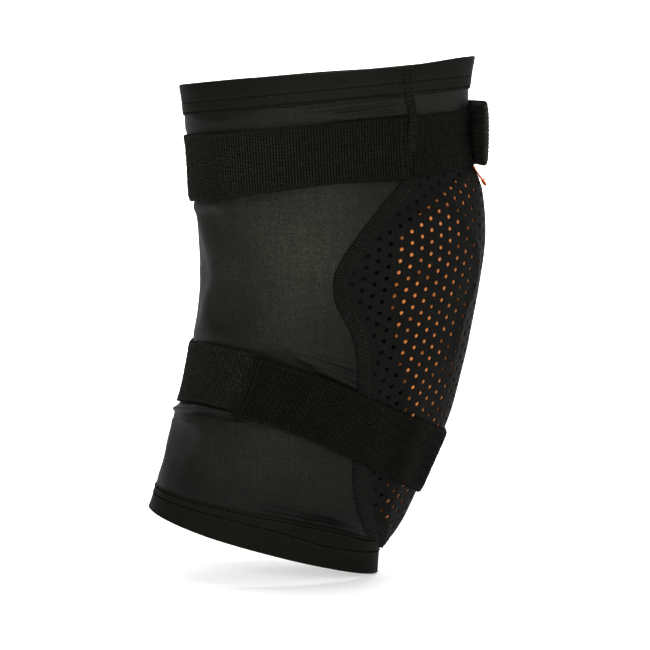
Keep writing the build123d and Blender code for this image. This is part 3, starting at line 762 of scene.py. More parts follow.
HEM_BOTTOM = hem_cloth("hem_knit_low", color=(0.0045, 0.0045, 0.0026), painted_light_gain=(1.4, 0.1),
                       painted_edge_shadow=0.2)
ROW_THREAD = plain("row_thread", color=(0.0009, 0.0009, 0.0007), rough=0.8, grain_scale=1500.0,
                   depth=0.0001, spec=0.01)

# =====================================================================
# Body names, and a helper that lays pieces in place and hides the model parts they replace
# =====================================================================
THIGH, CALF = "thigh", "calf"


def bend(ob, *nodes):
    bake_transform(ob)
    if nodes:
        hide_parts(*nodes)


# =====================================================================
# The stretch cloth is settled as real cloth: filled as if by a leg, held at the hems, under
# the straps and over the pad, and free to bulge and crease in between.
# =====================================================================
def settle(columns=108, rows=84, last_frame=20):
    phi, sec = np.meshgrid(np.arange(columns) * 360.0 / columns,
                           np.linspace(0, LAST_SECTION, rows), indexing="ij")
    rest = skin(phi, sec, 0.0, cloth=False)
    outward = skin(phi, sec, 1.0, cloth=False) - rest
    ob = make("cloth_settle", rest, grid_faces(columns, rows, wrap_rows=True).tolist())

    angle = from_front(phi)
    seam = seam_angle(np.minimum(sec, 13.3))
    hold = np.clip(1 - ramp(seam - 1, seam + 6, angle), 0, 1) * (sec > 2.4)
    for part in (1 - ramp(0.95, 1.15, sec), ramp(12.6, 12.85, sec),
                 between(sec, UPPER_TOP(angle), UPPER_BOTTOM(angle), 0.1, 0.1, 0.1),
                 between(sec, *lower_edges(angle, 100), 0.1, 0.1, 0.1)):
        hold = np.maximum(hold, part)
    group = ob.vertex_groups.new(name="hold")
    for i, weight in enumerate(hold.ravel()):
        group.add([i], float(weight), "REPLACE")

    cloth = ob.modifiers.new("cloth", "CLOTH")
    for key, setting in dict(
            quality=6, mass=0.25, tension_stiffness=18, compression_stiffness=18,
            shear_stiffness=6, bending_stiffness=0.35, air_damping=4,
            vertex_group_mass="hold", use_pressure=True, uniform_pressure_force=4.0,
            shrink_min=-0.035).items():
        setattr(cloth.settings, key, setting)
    cloth.settings.effector_weights.gravity = 0.0
    cloth.collision_settings.use_collision = False
    cloth.point_cache.frame_start = 1
    cloth.point_cache.frame_end = last_frame
    scene = bpy.context.scene
    for i in range(1, last_frame + 1):
        scene.frame_set(i)
    result = ob.evaluated_get(bpy.context.evaluated_depsgraph_get())
    mesh = result.to_mesh()
    moved = np.empty(len(mesh.vertices) * 3)
    mesh.vertices.foreach_get("co", moved)
    result.to_mesh_clear()

    height = ((moved.reshape(columns, rows, 3) * 1000 - rest) * outward).sum(-1)
    height = 1.7 * np.tanh(height / 2.4) * (1 - hold > 0)
    for _ in range(2):
        height = 0.5 * height + 0.25 * (np.roll(height, 1, 0) + np.roll(height, -1, 0))
        height[:, 1:-1] = 0.5 * height[:, 1:-1] + 0.25 * (height[:, 2:] + height[:, :-2])
    scene.frame_set(1)
    bpy.data.objects.remove(ob, do_unlink=True)
    return height


cloth_field = settle()


# =====================================================================
# Stretch panels and lining
# =====================================================================
def painted_light_tone(ob, phi, sec):
    """Painted highlight and shade on the black knit: lightest beside the knee, darkest near the hems."""
    angle = from_front(phi)
    knee = bell(sec, 4.9, 1.9)
    calf = bell(sec, 10.9, 1.5)
    side = bell(angle, 98, 48.0)
    # painted highlight beside the knee and over the calf, on both sides
    tone = 0.30 + 0.50 * knee * side + 0.17 * calf * side + 0.05 * knee
    # painted shade towards the front edges, from the upper strap down to the calf
    tone = tone * (1 - 0.52 * ramp(44, 84, 150 - angle) * ramp(2.0, 3.0, sec)
                   * (1 - ramp(9.5, 11.0, sec)))
    # painted shade: darker from the rear band down, much darker near the bottom hem
    tone = tone * (1 - 0.55 * ramp(10.8, 12.5, sec)) * (1 - 0.22 * ramp(8.0, 9.5, sec))
    # painted shade on the upper back, below the top hem
    tone = tone * (1 - 0.25 * (1 - ramp(1.0, 2.2, sec)) * ramp(110, 150, angle))
    tone = tone * (0.92 + 0.1 * np.sin(angle / 7.0 + sec * 0.6) * np.sin(sec * 1.9 + 0.5))
    # the stretch attribute carries this painted highlight and shade to the knit's colour
    add_attribute(ob, "stretch", np.concatenate([tone, tone[:, ::-1]], 1))


def front_grid(columns, sections, half_angle):
    """phi, sec and the share across (-1..1) of a grid over the front."""
    across, sec = np.meshgrid(np.linspace(-1, 1, columns), sections, indexing="ij")
    return across * half_angle(sec), sec, across


# one sheet from seam to seam round the back
around, sec = np.meshgrid(np.linspace(0, 1, 420), np.linspace(0.62, 13.93, 330), indexing="ij")
side = np.where(sec < SEAM_END, seam_angle(sec), 0.4)
phi = side + (360 - 2 * side) * around
press = squeeze(phi, sec)
rear = sheet("rear_panel", phi, sec, press, press - CLOTH,
             ((phi - 180) * surface_scale(phi, sec)[0].mean(), sec * UV_SECTION), REAR_KNIT)
painted_light_tone(rear, phi, sec)
bend(rear, "upper_rear_panel", "knee_rear_panel", "lower_rear_panel")

# front yoke above the perforated panel
phi, sec, _ = front_grid(150, np.linspace(0.62, 3.25, 60), seam_angle)
press = squeeze(phi, sec)
yoke = sheet("front_yoke", phi, sec, press, press - CLOTH,
             (phi * 1.05, sec * UV_SECTION), YOKE_KNIT)
painted_light_tone(yoke, phi, sec)
bend(yoke, "upper_front_yoke")

# lining behind the perforated panel
phi, sec, _ = front_grid(120, np.linspace(2.7, 13.3, 150),
                         lambda sec: np.maximum(seam_angle(sec), 1.0))
lining = sheet("pocket_lining", phi, sec, 0.05, -CLOTH,
               (phi * 1.05, sec * UV_SECTION), LINING_MESH)
bend(lining, "upper_pocket_lining", "knee_pocket_lining", "lower_pocket_lining")


# =====================================================================
# Impact pad: moulded tiles with grooves between them
# =====================================================================
PAD_TOP, PAD_BOTTOM = 2.95, 13.0


def tile_faces(x, y, pitch=19.0, groove=1.5):
    """0 in the grooves between hexagonal tiles, 1 on their faces."""
    def distance(shift, step):
        dx = x - shift * pitch / 2
        dx = dx - (np.round(dx / pitch) + step) * pitch
        dy = y - shift * pitch * 0.866
        dy = dy - np.round(dy / (pitch * 1.732)) * pitch * 1.732
        return np.hypot(dx, dy)

    nearest = np.full(x.shape, 1e9)
    second = nearest
    for shift in (0, 1):
        away = distance(shift, 0)
        second = np.minimum(second, np.maximum(nearest, away))
        nearest = np.minimum(nearest, away)
    # neighbours along x in the same row
    for shift in (0, 1):
        for step in (-1, 1):
            away = distance(shift, step)
            second = np.minimum(second, np.where(away > nearest + 1e-6, away, second))
    return ramp(0, groove, (second - nearest) / 2)


def pad_half_angle(sec):
    return np.maximum(smooth(*PAD_ANGLE, sec), 1.0)


phi, sec, across = front_grid(260, np.linspace(PAD_TOP, PAD_BOTTOM, 300), pad_half_angle)
pad_uv = phi * 1.07, sec * UV_SECTION
edge_depth = np.minimum((1 - np.abs(across)) * pad_half_angle(sec) * 1.05,
                        np.minimum(sec - PAD_TOP, PAD_BOTTOM - sec) * 20)
rise = rounded(edge_depth, 3.5)
pad_face = (0.25 + (pad_height(phi, sec) * 0.97 + 0.35) * np.maximum(rise, 0.02)
            - 1.6 * (1 - tile_faces(*pad_uv)) * rise)
pad = sheet("impact_pad", phi, sec, pad_face, np.minimum(0.12, pad_face - 0.05), pad_uv, PAD_FOAM)
bend(pad, "impact_pad_knee_cup", "impact_pad_flex_bridge", "impact_pad_shin")


# =====================================================================
# Perforated front panel, laid out flat: x mm from the front centre line, y mm downwards
# =====================================================================
def cover_height(phi, sec):
    return pad_height(phi, sec) + COVER_OUT


FLAT_SEC = np.linspace(2.0, LAST_SECTION, 601)
FLAT_PHI = np.linspace(0, 110, 221)
# flat y by section, measured down the line at this angle
FLAT_Y = path_length(skin(-42.0, FLAT_SEC, cover_height(-42.0, FLAT_SEC), cloth=False))
phi, sec = np.meshgrid(FLAT_PHI, FLAT_SEC, indexing="ij")
FLAT_X = path_length(skin(phi, sec, cover_height(phi, sec), cloth=False))


def flat_x_at(column, sec):
    row = np.clip((sec - FLAT_SEC[0]) / (FLAT_SEC[1] - FLAT_SEC[0]), 0, len(FLAT_SEC) - 1.001)
    j = np.floor(row).astype(int)
    part = row - j
    return FLAT_X[column, j] * (1 - part) + FLAT_X[column, j + 1] * part


def flat_to_sleeve(x, y):
    sec = np.interp(y, FLAT_Y, FLAT_SEC)
    size = np.abs(x)
    last = len(FLAT_PHI) - 1
    low = np.zeros(size.shape, int)
    high = np.full(size.shape, last)
    for _ in range(8):
        middle = (low + high) // 2
        beyond = flat_x_at(middle, sec) > size
        high = np.where(beyond, middle, high)
        low = np.where(beyond, low, middle)
    high = np.minimum(low + 1, last)
    start, end = flat_x_at(low, sec), flat_x_at(high, sec)
    part = np.clip((size - start) / np.maximum(end - start, 1e-9), 0, 1)
    return np.sign(x) * (FLAT_PHI[low] + part * (FLAT_PHI[high] - FLAT_PHI[low])), sec


def sleeve_to_flat(phi, sec):
    column = np.clip(np.abs(phi) / (FLAT_PHI[1] - FLAT_PHI[0]), 0, len(FLAT_PHI) - 1.001)
    k = np.floor(column).astype(int)
    part = column - k
    x = flat_x_at(k, sec) * (1 - part) + flat_x_at(k + 1, sec) * part
    return np.sign(phi) * x, np.interp(sec, FLAT_SEC, FLAT_Y)


# the panel's side edges on the flat: outer side, then inner side
edge_sec = np.concatenate([np.linspace(COVER_TOP, 12.3, 500),
                           np.linspace(12.3, SEAM_END, 220)[1:]])
edge_x, edge_y = sleeve_to_flat(-seam_angle(edge_sec), edge_sec)
COVER_EDGE = np.concatenate([np.stack([edge_x, edge_y], 1),
                             np.stack([-edge_x[::-1], edge_y[::-1]], 1)])
COVER_TOP_Y = float(np.interp(COVER_TOP, FLAT_SEC, FLAT_Y))


def inside_cover(x, y):
    phi, sec = flat_to_sleeve(x, y)
    return ((np.abs(phi) <= np.where(sec < SEAM_END, seam_angle(sec), -1))
            & (y >= COVER_TOP_Y))


def nearest_edge(points):
    """Distance to the side edges, and the edge point nearest to each point."""
    distance = np.empty(len(points))
    nearest = np.empty((len(points), 2))
    for i in range(0, len(points), 4000):
        away = np.linalg.norm(points[i:i + 4000, None] - COVER_EDGE[None], axis=2)
        j = away.argmin(1)
        distance[i:i + 4000] = away[np.arange(len(j)), j]
        nearest[i:i + 4000] = COVER_EDGE[j]
    return distance, nearest


PITCH_X, PITCH_Y, HOLE_RADIUS = 6.6, 7.1, 1.22
FULL_MARGIN = 9.2      # holes keep this far from the side edges, mm
# each cell's border, a quarter of a side at a time
border = np.array([-.5, -.5, -.5, -.5, -.5, -.25, 0, .25, .5, .5, .5, .5, .5, .25, 0, -.25])
BORDER_X, BORDER_Y = border * PITCH_X, np.roll(border, -4) * PITCH_Y
border_turn = np.arctan2(BORDER_Y, BORDER_X)
BORDER_COS, BORDER_SIN = np.cos(border_turn), np.sin(border_turn)
# rings inwards from the border: mm outside the hole, share of the way to the border, depth
HOLE_RINGS = ((0.32, 0.45, 0.0), (0.32, 0.0, 0.0), (0.09, 0.0, -0.07), (0.0, 0.0, -0.24),
              (0.0, 0.0, -0.80))


def holed_cell(x, y):
    """Flat points, depths and faces of a cell with a round hole."""
    jitter = rng.normal(0, 0.05, 2)
    radius = HOLE_RADIUS * (1 + rng.normal(0, 0.02))
    hole_x, hole_y = x + jitter[0], y + jitter[1]
    edge_x, edge_y = x + BORDER_X, y + BORDER_Y
    points, depths = [np.stack([edge_x, edge_y], 1)], [np.zeros(len(border))]
    for grow, share, depth in HOLE_RINGS:
        reach = radius + grow
        points.append(np.stack([
            hole_x + BORDER_COS * reach * (1 - share) + (edge_x - hole_x) * share,
            hole_y + BORDER_SIN * reach * (1 - share) + (edge_y - hole_y) * share], 1))
        depths.append(np.full(len(border), depth))
    faces = grid_faces(len(points), len(border), wrap_columns=True, flip=True)
    return np.concatenate(points), np.concatenate(depths), faces


def plain_cell(x, y):
    part = np.linspace(-0.5, 0.5, 5)
    dx, dy = np.meshgrid(part * PITCH_X, part * PITCH_Y, indexing="ij")
    return np.stack([x + dx.ravel(), y + dy.ravel()], 1), np.zeros(25), grid_faces(5, 5, flip=True)


def ridge_line(phi, sec):
    """Soft ridge round the kneecap under the panel, and the lift inside it."""
    ridge_sec = [3.99, 4.26, 4.72, 5.32, 6.12, 6.76, 7.31, 7.90]
    ridge_phi = [38.0, 34.2, 26.5, 18.2, 15.5, 21.2, 22.8, 22.5]
    away = (np.abs(phi) - smooth(ridge_sec, ridge_phi, sec)) * 1.05
    lift = 0.32 * (1 - ramp(-2.0, 5.0, away)) * np.exp(-((sec - 5.8) / 2.2) ** 4)
    return ((1.1 * bell(away, 0, 3.2) + lift) * ramp(3.6, 4.3, sec)
            * (1 - ramp(7.6, 8.3, sec)))


def perforated_panel():
    centres = np.array([(i * PITCH_X, COVER_TOP_Y + 3.0 + (j + 0.5 * (i % 2)) * PITCH_Y)
                        for i in range(-18, 19) for j in range(-2, 42)])
    cells, faces, count = [], [], 0
    for (x, y), margin, inside in zip(centres, nearest_edge(centres)[0],
                                      inside_cover(centres[:, 0], centres[:, 1])):
        if not inside and (margin > 6.5 or not inside_cover(x + BORDER_X, y + BORDER_Y).any()):
            continue
        cell = holed_cell if inside and margin > FULL_MARGIN else plain_cell
        points, depths, quads = cell(x, y)
        cells.append((points, depths))
        faces += (np.roll(quads, 1, axis=1) + count).tolist()
        count += len(points)
    flat = np.concatenate([points for points, _ in cells])
    depth = np.concatenate([depths for _, depths in cells])
    # pull what lies outside the outline onto it
    outside = ~inside_cover(flat[:, 0], flat[:, 1])
    margin, nearest = nearest_edge(flat)
    flat[outside] = nearest[outside]
    flat[flat[:, 1] < COVER_TOP_Y, 1] = COVER_TOP_Y
    margin = np.where(outside, 0, margin)
    phi, sec = flat_to_sleeve(flat[:, 0], flat[:, 1])
    base = (cover_height(phi, sec) + ridge_line(phi, sec)
            - 0.5 * (1 - ramp(0.0, 9.0, margin)))
    verts = skin(phi, sec, base + depth)
    # weld the borders between cells
    key = np.round(np.concatenate([flat * 40, depth[:, None] * 100], 1)).astype(np.int64)
    _, first, welded = np.unique(key, axis=0, return_index=True, return_inverse=True)
    welded = welded.reshape(-1)
    kept = []
    for face in faces:
        face = [int(welded[i]) for i in face]
        face = [vert for i, vert in enumerate(face) if vert != face[i - 1]]
        if len(face) >= 3 and len(set(face)) == len(face):
            kept.append(face[::-1])
    return make("perforated_panel", verts[first], kept, flat[first], COVER_KNIT)


bend(perforated_panel(), "upper_perforated_cover", "knee_perforated_cover",
     "lower_perforated_cover")


# =====================================================================
# Flatlock seams down both sides
# =====================================================================
def seam_ribbon(name, sign, start, end, width, lifts, outward=0.7):
    """Raised band of thread on the seam: width mm over the front, outward mm over the rear.

    lifts are its heights over the rear and over the front cloth."""
    sec = np.linspace(start, end, 2400)
    phi = seam_angle(np.minimum(sec, 13.339))
    length = path_length(skin(sign * phi, sec, 1.0, cloth=False))
    along = np.linspace(0, length[-1], int(length[-1] / 0.42))
    sec, phi = np.interp(along, length, sec), np.interp(along, length, phi)
    per_degree, per_section = surface_scale(sign * phi, sec)
    run_phi, run_sec = np.gradient(phi, along) * per_degree, np.gradient(sec, along) * per_section
    for _ in range(30):
        run_phi, run_sec = (
            np.convolve(np.pad(run, 6, mode="edge"), np.ones(13) / 13, "valid")
            for run in (run_phi, run_sec))
    speed = np.hypot(run_phi, run_sec)
    side, along = np.meshgrid(np.linspace(-outward, width, 17), along)
    phi = phi[:, None] - (run_sec / speed)[:, None] * side / per_degree[:, None]
    phi = np.maximum(phi, 0.0)
    sec = sec[:, None] + (run_phi / speed)[:, None] * side / per_section[:, None]

    share = (side + outward) / (width + outward)
    body = rounded(side + outward, 0.9) * rounded(width - side, 0.9)
    loops = ripple(along + side * 0.35 + 0.45 * np.sin(along * 0.9 + side * 0.8), 1.45)
    needle = bell(share, 0.16, 0.07) + bell(share, 0.84, 0.07) + 0.7 * bell(share, 0.5, 0.06)
    relief = (body * (0.24 + 0.24 * loops * (0.6 + 0.4 * np.sin(along * 2.3 + side * 1.7)))
              + body * needle * (0.10 + 0.20 * ripple(along, 2.6)))
    ease = ramp(0, 2.2, side)
    base = (lifts[0] * (1 - ease) + lifts[1] * ease
            + pad_height(phi, sec) * ramp(2.75, 3.0, sec) * np.clip(side / 2.2, 0, 1))
    return sheet(name, sign * phi, sec, base + relief, base - 0.35, (along, side),
                 SEAM_THREAD, flip=sign > 0)


for sign, side_name, hem_start in ((-1, "outer", 0.21), (1, "inner", 0.18)):
    long_seam = seam_ribbon(f"seam_low_{side_name}", sign, 2.9, 13.335, 7.6,
                            (0.25, COVER_OUT - 0.45))
    short_seams = [
        seam_ribbon(f"seam_{part}_{side_name}", sign, start, end, 4.0, lifts, outward=1.9)
        for part, start, end, lifts in (("top", 0.93, 1.66, (0.40, 0.40)),
                                        ("hem", hem_start, 0.935, (0.98, 0.98)),
                                        ("mid", 3.2, 3.35, (0.5, 0.9)))]
    bend(long_seam)
    for piece in short_seams:
        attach(piece, THIGH)
    if sign < 0:
        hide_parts("upper_side_seams", "lower_side_seams")


# =====================================================================
# Hems: doubled cloth with a rolled rim and two rows of twin-needle stitches
# =====================================================================
def hem(name, edge_at, rim_at, limit, rows, swell, puff, mat):
    """Band from its sewn edge to the rim at section limit, round the rim and back inside."""
    phi = np.linspace(0, 360, 720, endpoint=False)
    turn = np.radians(phi)
    edge, rim = edge_at(phi), rim_at(phi)
    outward = -1 if limit == 0 else 1
    sections, heights = [], []
    for part in np.linspace(0, 1, 26):
        sec = edge + (rim - edge) * part
        depth = part * 19.0
        pucker = 0.0
        for row in rows:
            away = (sec - row(phi)) * 20.5
            pucker = pucker - 0.32 * bell(away, 0, 0.85)
            pucker = pucker + 0.10 * bell(away, 0, 2.4) * np.sin(turn * 78 + np.sin(turn * 7) * 2)
        sections.append(sec)
        heights.append(0.22 + swell * rounded(depth, 0.8)
                       + puff * np.sin(np.clip(depth / 11.5, 0, 1) * np.pi) + pucker)
    roll_steps = 9
    for i in range(1, roll_steps):
        roll = math.pi * i / roll_steps
        sections.append(rim + outward * 0.045 * math.sin(roll))
        heights.append(np.full(len(phi), -0.25 + 1.05 * math.cos(roll)))
    for part in np.linspace(1, 0, 12):
        sections.append(edge + (rim - edge) * part * 0.985)
        heights.append(np.full(len(phi), -1.25))
    sec, height = np.array(sections).T, np.array(heights).T
    phi_grid = np.full(sec.shape, phi[:, None])
    clipped = np.clip(sec, 0.0, LAST_SECTION)
    verts = skin(phi_grid, clipped, height)
    # past the rims the surface is carried straight on
    step = 0.05
    ahead = (skin(phi_grid, limit, height, cloth=False)
             - skin(phi_grid, limit - outward * step, height, cloth=False))
    verts = verts + ahead / step * (outward * (sec - clipped)[..., None])
    faces = grid_faces(*sec.shape, wrap_rows=True, wrap_columns=True, flip=outward < 0)
    ob = make(name, verts, faces, np.stack([phi_grid * 1.2, sec * UV_SECTION], -1), mat)
    # mm from each sewn row and from the edge
    for tag, row in (("row_a", rows[0](phi)), ("row_b", rows[1](phi)), ("row_e", edge)):
        add_attribute(ob, tag, (sec - row[:, None]) * 20.5)
    return ob


def top_edge(phi):
    return 0.94 + 0.012 * np.sin(np.radians(phi) * 6) + 0.006 * np.sin(np.radians(phi) * 23)


def top_rim(phi):
    return (0.08 + 0.10 * near_angle(phi, -62, 24) + 0.06 * near_angle(phi, -95, 20)
            + 0.08 * near_angle(phi, 60, 26))


TOP_ROWS = [lambda phi: np.full(len(phi), 0.58), lambda phi: np.full(len(phi), 0.865)]
BOTTOM_ROWS = [outline([0, 26, 58, 84, 120, 180], [13.02, 12.99, 12.74, 12.62, 12.58, 12.58]),
               outline([0, 30, 56, 84, 120, 180], [13.38, 13.37, 13.31, 13.06, 12.93, 12.91])]


def bottom_edge(phi):
    return (np.minimum(BOTTOM_ROWS[0](phi) - 0.11, 13.2)
            + 0.012 * np.sin(np.radians(phi) * 5))


def bottom_rim(phi):
    return LAST_SECTION + 0.13 * near_angle(phi, -128, 42) + 0.05 * near_angle(phi, 128, 42)


top_hem = hem("top_hem", top_edge, top_rim, 0.0, TOP_ROWS, swell=0.75, puff=0.25, mat=HEM_TOP)
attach(top_hem, THIGH)
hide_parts("top_hem_rear", "top_hem_front")
bottom_hem = hem("bottom_hem_band", bottom_edge, bottom_rim, LAST_SECTION, BOTTOM_ROWS,
                 swell=0.35, puff=0.0, mat=HEM_BOTTOM)
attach(bottom_hem, CALF)
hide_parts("bottom_hem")

for name, rows, off, body, node in (
        ("top_hem_stitches", TOP_ROWS, 0.66, THIGH, "top_hem_stitching"),
        ("bottom_hem_stitches", BOTTOM_ROWS, 0.42, CALF, "bottom_hem_stitching")):
    bag = Bag()
    phi = np.linspace(0, 360, 2400)
    for row in rows:
        sew(bag, phi, row(phi), off, length=1.15, gap=0.95, radius=0.42, lift=0.20, sink=0.20)
    row_stitches = bag.done(name, ROW_THREAD)
    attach(row_stitches, body)
    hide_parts(node)

for name in ("top_grip_silicone", "bottom_grip_silicone"):
    materials = frame["nodes"][name].data.materials
    materials.clear()
    materials.append(SILICONE)


# =====================================================================
# Straps
# =====================================================================
def front_part(phi, sec):
    """Height of the perforated panel and pad over the sleeve, dying away behind the seam."""
    angle = from_front(phi)
    seam = seam_angle(np.minimum(sec, 13.3))
    return (1 - ramp(seam + 1, seam + 12, angle)) * (
        COVER_OUT * ramp(2.3, COVER_TOP, sec) + pad_height(np.minimum(angle, 110), sec))


def rib_height(along, across, style):
    """Relief of the woven face: cross ribs broken into dashes, with plainer selvedges."""
    depth = np.minimum(across, STRAP_WIDTH - across)
    selvedge = 1 - ramp(2.6, 3.3, depth)
    if style == "loop":
        rib = np.round(along / 1.75)
        dash = ripple(across / 1.9 + 0.45 * np.sin(rib * 12.9)
                      + 0.3 * np.sin(rib * 4.1 + across * 0.35), 1)
        jitter = 0.75 + 0.25 * np.sin(rib * 7.31 + across * 0.9) * np.cos(across * 1.7 + rib * 2.2)
        body = 0.75 * ripple(along, 1.75) * (0.2 + 0.8 * dash) * jitter
    elif style == "fine":
        body = 0.22 * ripple(along, 1.25) * (0.4 + 0.6 * ripple(across, 1.3))
    else:
        rib = np.round(along / 1.6)
        turn = 2 * np.pi * (across / 2.1 + 0.5 * (rib % 2)) + 0.6 * np.sin(rib * 3.3)
        body = 0.5 * ripple(along, 1.6) * (0.35 + 0.65 * (0.5 + 0.5 * np.cos(turn)))
    edge = 0.13 * ripple(along, 1.3) + 0.05 * ripple(across / 0.9 + along / 2.6, 1)
    return body * (1 - selvedge) + edge * selvedge - 0.16 * bell(depth, 3.0, 0.35)


def band(name, angles, edges, height, thickness, mat, style, tilt=lambda phi: 0.0, step=0.44,
         columns=40, ends=(True, True), start=0.0, wobble=0.0):
    """Strap lying at height(phi, sec) over the sleeve.

    angles: first, last and number of samples; edges: top and bottom outlines; tilt: degrees
    its lower edge leads by; ends: which are rounded; start: weave position at the first end.
    Returns the object and the weave position at its last end."""
    top, bottom = edges
    middle = np.linspace(*angles)
    middle_sec = (top(middle) + bottom(middle)) / 2
    length = path_length(skin(middle, middle_sec, height(middle, middle_sec) + thickness))
    along = np.linspace(0, length[-1], max(int(length[-1] / step), 8))
    middle = np.interp(along, length, middle)
    # finer samples where the edges round off
    part = np.concatenate([[0, 0.006, 0.015], np.linspace(0.03, 0.97, columns - 6),
                           [0.985, 0.994, 1.0]])
    part, middle = np.meshgrid(part, middle)
    along = np.repeat(along[:, None], part.shape[1], 1)
    phi = middle + tilt(middle) * (part - 0.5)
    waver = wobble * 0.02 * (np.sin(along / 9.0 + 1) + 0.6 * np.sin(along / 4.1))
    # looped selvedges: the edge threads turn back every row
    turn = 0.017 * np.cos(2 * np.pi * along / 1.9) * (1 + 0.5 * np.sin(along / 3.7))
    sec = (top(phi) + (bottom(phi) - top(phi)) * part + waver
           + turn * (ramp(0.97, 1.0, part) - ramp(0.97, 1.0, 1 - part)))
    across = part * STRAP_WIDTH
    edge = rounded(np.minimum(across, STRAP_WIDTH - across), 1.0)
    if ends[0]:
        edge = edge * rounded(along, 0.9)
    if ends[1]:
        edge = edge * rounded(length[-1] - along, 0.9)
    under = height(phi, sec)
    relief = rib_height(along + start, across, style)
    grain = 0.10 * np.sin(along * 3.1 + across * 1.3) * np.sin(across * 2.3 - along * 0.7)
    outer = under + thickness * (0.25 + 0.75 * edge) + (relief + grain) * edge
    strap = sheet(name, phi, sec, outer, under, (along + start, across), mat,
                  flip=angles[0] > angles[1])
    return strap, start + length[-1]


def upper_height(phi, sec):
    angle = signed(phi)
    return (0.25 + front_part(angle, sec) + 2.0 * (1 - ramp(54, 74, angle)) * (angle > 0)
            + 1.1 * (1 - ramp(22, 37, angle)) * (angle > 0))


def landing_height(phi, sec):
    return 0.25 + COVER_OUT * ramp(2.3, COVER_TOP, sec) + pad_height(signed(phi), sec)


upper_strap, upper_length = band(
    "upper_strap_band", (303.6, 22.6, 600), (UPPER_TOP, UPPER_BOTTOM), upper_height, 1.7, STRAP,
    "loop", ends=(True, False), wobble=0.3)
bend(upper_strap, "upper_strap")

landing, _ = band(
    "upper_landing", (-54.9, 55.5, 300),
    (lambda phi: UPPER_TOP(phi) + 0.03, lambda phi: UPPER_BOTTOM(phi) - 0.03),
    landing_height, 1.25, LANDING, "fine", step=0.36, columns=56, wobble=0.2)
bend(landing, "upper_landing_band")

# thread band in the notch between the strap and the landing piece
notch = seam_ribbon("strap_seam_notch", -1, 1.56, 3.34, 3.0, (1.6, 2.05), outward=2.4)
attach(notch, THIGH)

# stitch rows across the strap near both side seams
bag = Bag()
sec = np.linspace(1.66, 3.26, 200)
for row_phi in (-57.6, -59.6, 57.6, 59.8):
    sew(bag, np.full(200, row_phi), sec, upper_height(row_phi, sec) + 1.75,
        length=1.9, radius=0.22, lift=0.22, sink=0.25)
bend(bag.done("upper_strap_stitches", THREAD), "upper_strap_tack")

# ---------------------------------------------------------------- free end of the upper strap
# seen from above: x, y of its middle line
tongue_at, tongue_line, tongue_normal = plane_curve(
    [(21.4, -74.4), (18.2, -76.4), (15.0, -78.2), (9.0, -81.2), (2.0, -83.9), (-6.0, -86.4),
     (-14.6, -88.4)], 220)
tongue_normal *= np.sign(-tongue_normal[:, 1:2])          # towards -Y, away from the leg
TONGUE_LENGTH = tongue_at[-1]
TONGUE_HALF, TONGUE_Z = 19.4, 79.0      # half its width, and the height of its middle


def tongue_place(along):
    """x, y and the normal's x, y at a distance along the free end."""
    return [np.interp(along, tongue_at, column)
            for column in (*tongue_line.T, *tongue_normal.T)]


def tongue_curl(along, z, half=TONGUE_HALF):
    return -0.9 * ((z / half) ** 2) * ramp(0.45, 1.0, along / TONGUE_LENGTH)


def tongue_grid(off, start, end, rows, half, columns, corner):
    """Points off(along, z, edge depth) mm outside the free end, with rounded far corners."""
    share = np.linspace(-1, 1, columns)
    share = np.sign(share) * (1 - (1 - np.abs(share)) ** 1.25)
    along, share = np.meshgrid(np.linspace(start, end, rows), share, indexing="ij")
    z = share * half
    over = np.maximum(np.abs(z) - (half - corner), 0)
    cut = corner - np.sqrt(np.maximum(corner**2 - over**2, 0))
    x, y, normal_x, normal_y = tongue_place(
        along - cut * ramp(start + (end - start) * 0.55, end, along))
    depth = np.minimum(half - np.abs(z), end - along)
    ragged = ((0.28 * np.sin(z * 4.3 + 0.7) * np.sin(z * 1.7) + 0.2 * np.sin(z * 7.9))
              * ramp(end - 1.2, end, along))
    out = off(along, z, depth) + tongue_curl(along, z, half)
    waver = (0.22 * np.sin(along * 4.1) * np.sin(along * 1.3 + 1) * np.sign(z)
             * ramp(half - 1.2, half, np.abs(z)))
    droop = 0.6 * (along / TONGUE_LENGTH)
    points = np.stack([x + normal_x * out - ragged, y + normal_y * out - 0.4 * ragged,
                       TONGUE_Z + z + waver - droop], -1)
    return points, along, z


def tongue_outer(along, z, depth):
    relief = rib_height(upper_length + along, np.clip(z + 19.0, 0, STRAP_WIDTH), "loop")
    return 0.35 + 0.65 * rounded(depth, 1.0) + relief * rounded(depth, 1.2)


def tongue_inner(along, z, depth):
    return -(0.35 + 0.65 * rounded(depth, 1.0)) - 0.03 * ripple(along, 1.75)


whole = (0.0, TONGUE_LENGTH, 90, TONGUE_HALF, 40, 4.0)
outer, along, z = tongue_grid(tongue_outer, *whole)
inner, _, _ = tongue_grid(tongue_inner, *whole)
tongue = slab("upper_strap_tongue", outer, inner, (along + upper_length, z + 19), TONGUE)
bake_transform(tongue)
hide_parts("upper_strap_end")

# hook tape under it, from x = 7.5 to just short of the end
tape_start = float(np.interp(-7.5, -tongue_line[:, 0], tongue_at))
tape_end = TONGUE_LENGTH - 0.9
taped = (tape_start, tape_end, 70, TONGUE_HALF - 1.3, 60, 3.4)
lower_face, along, z = tongue_grid(
    lambda along, z, depth: (-1.05 - 0.75 * rounded(depth - 0.2, 0.6)
                             + 0.12 * np.cos(along * 4.2) * np.cos(z * 4.2)), *taped)
upper_face, _, _ = tongue_grid(lambda along, z, depth: -0.95, *taped)
patch = slab("upper_hook_tape", lower_face, upper_face, (along, z), HOOK_TAPE, flip=True)
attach(patch, "upper_free_end")
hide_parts("upper_hook_patch")

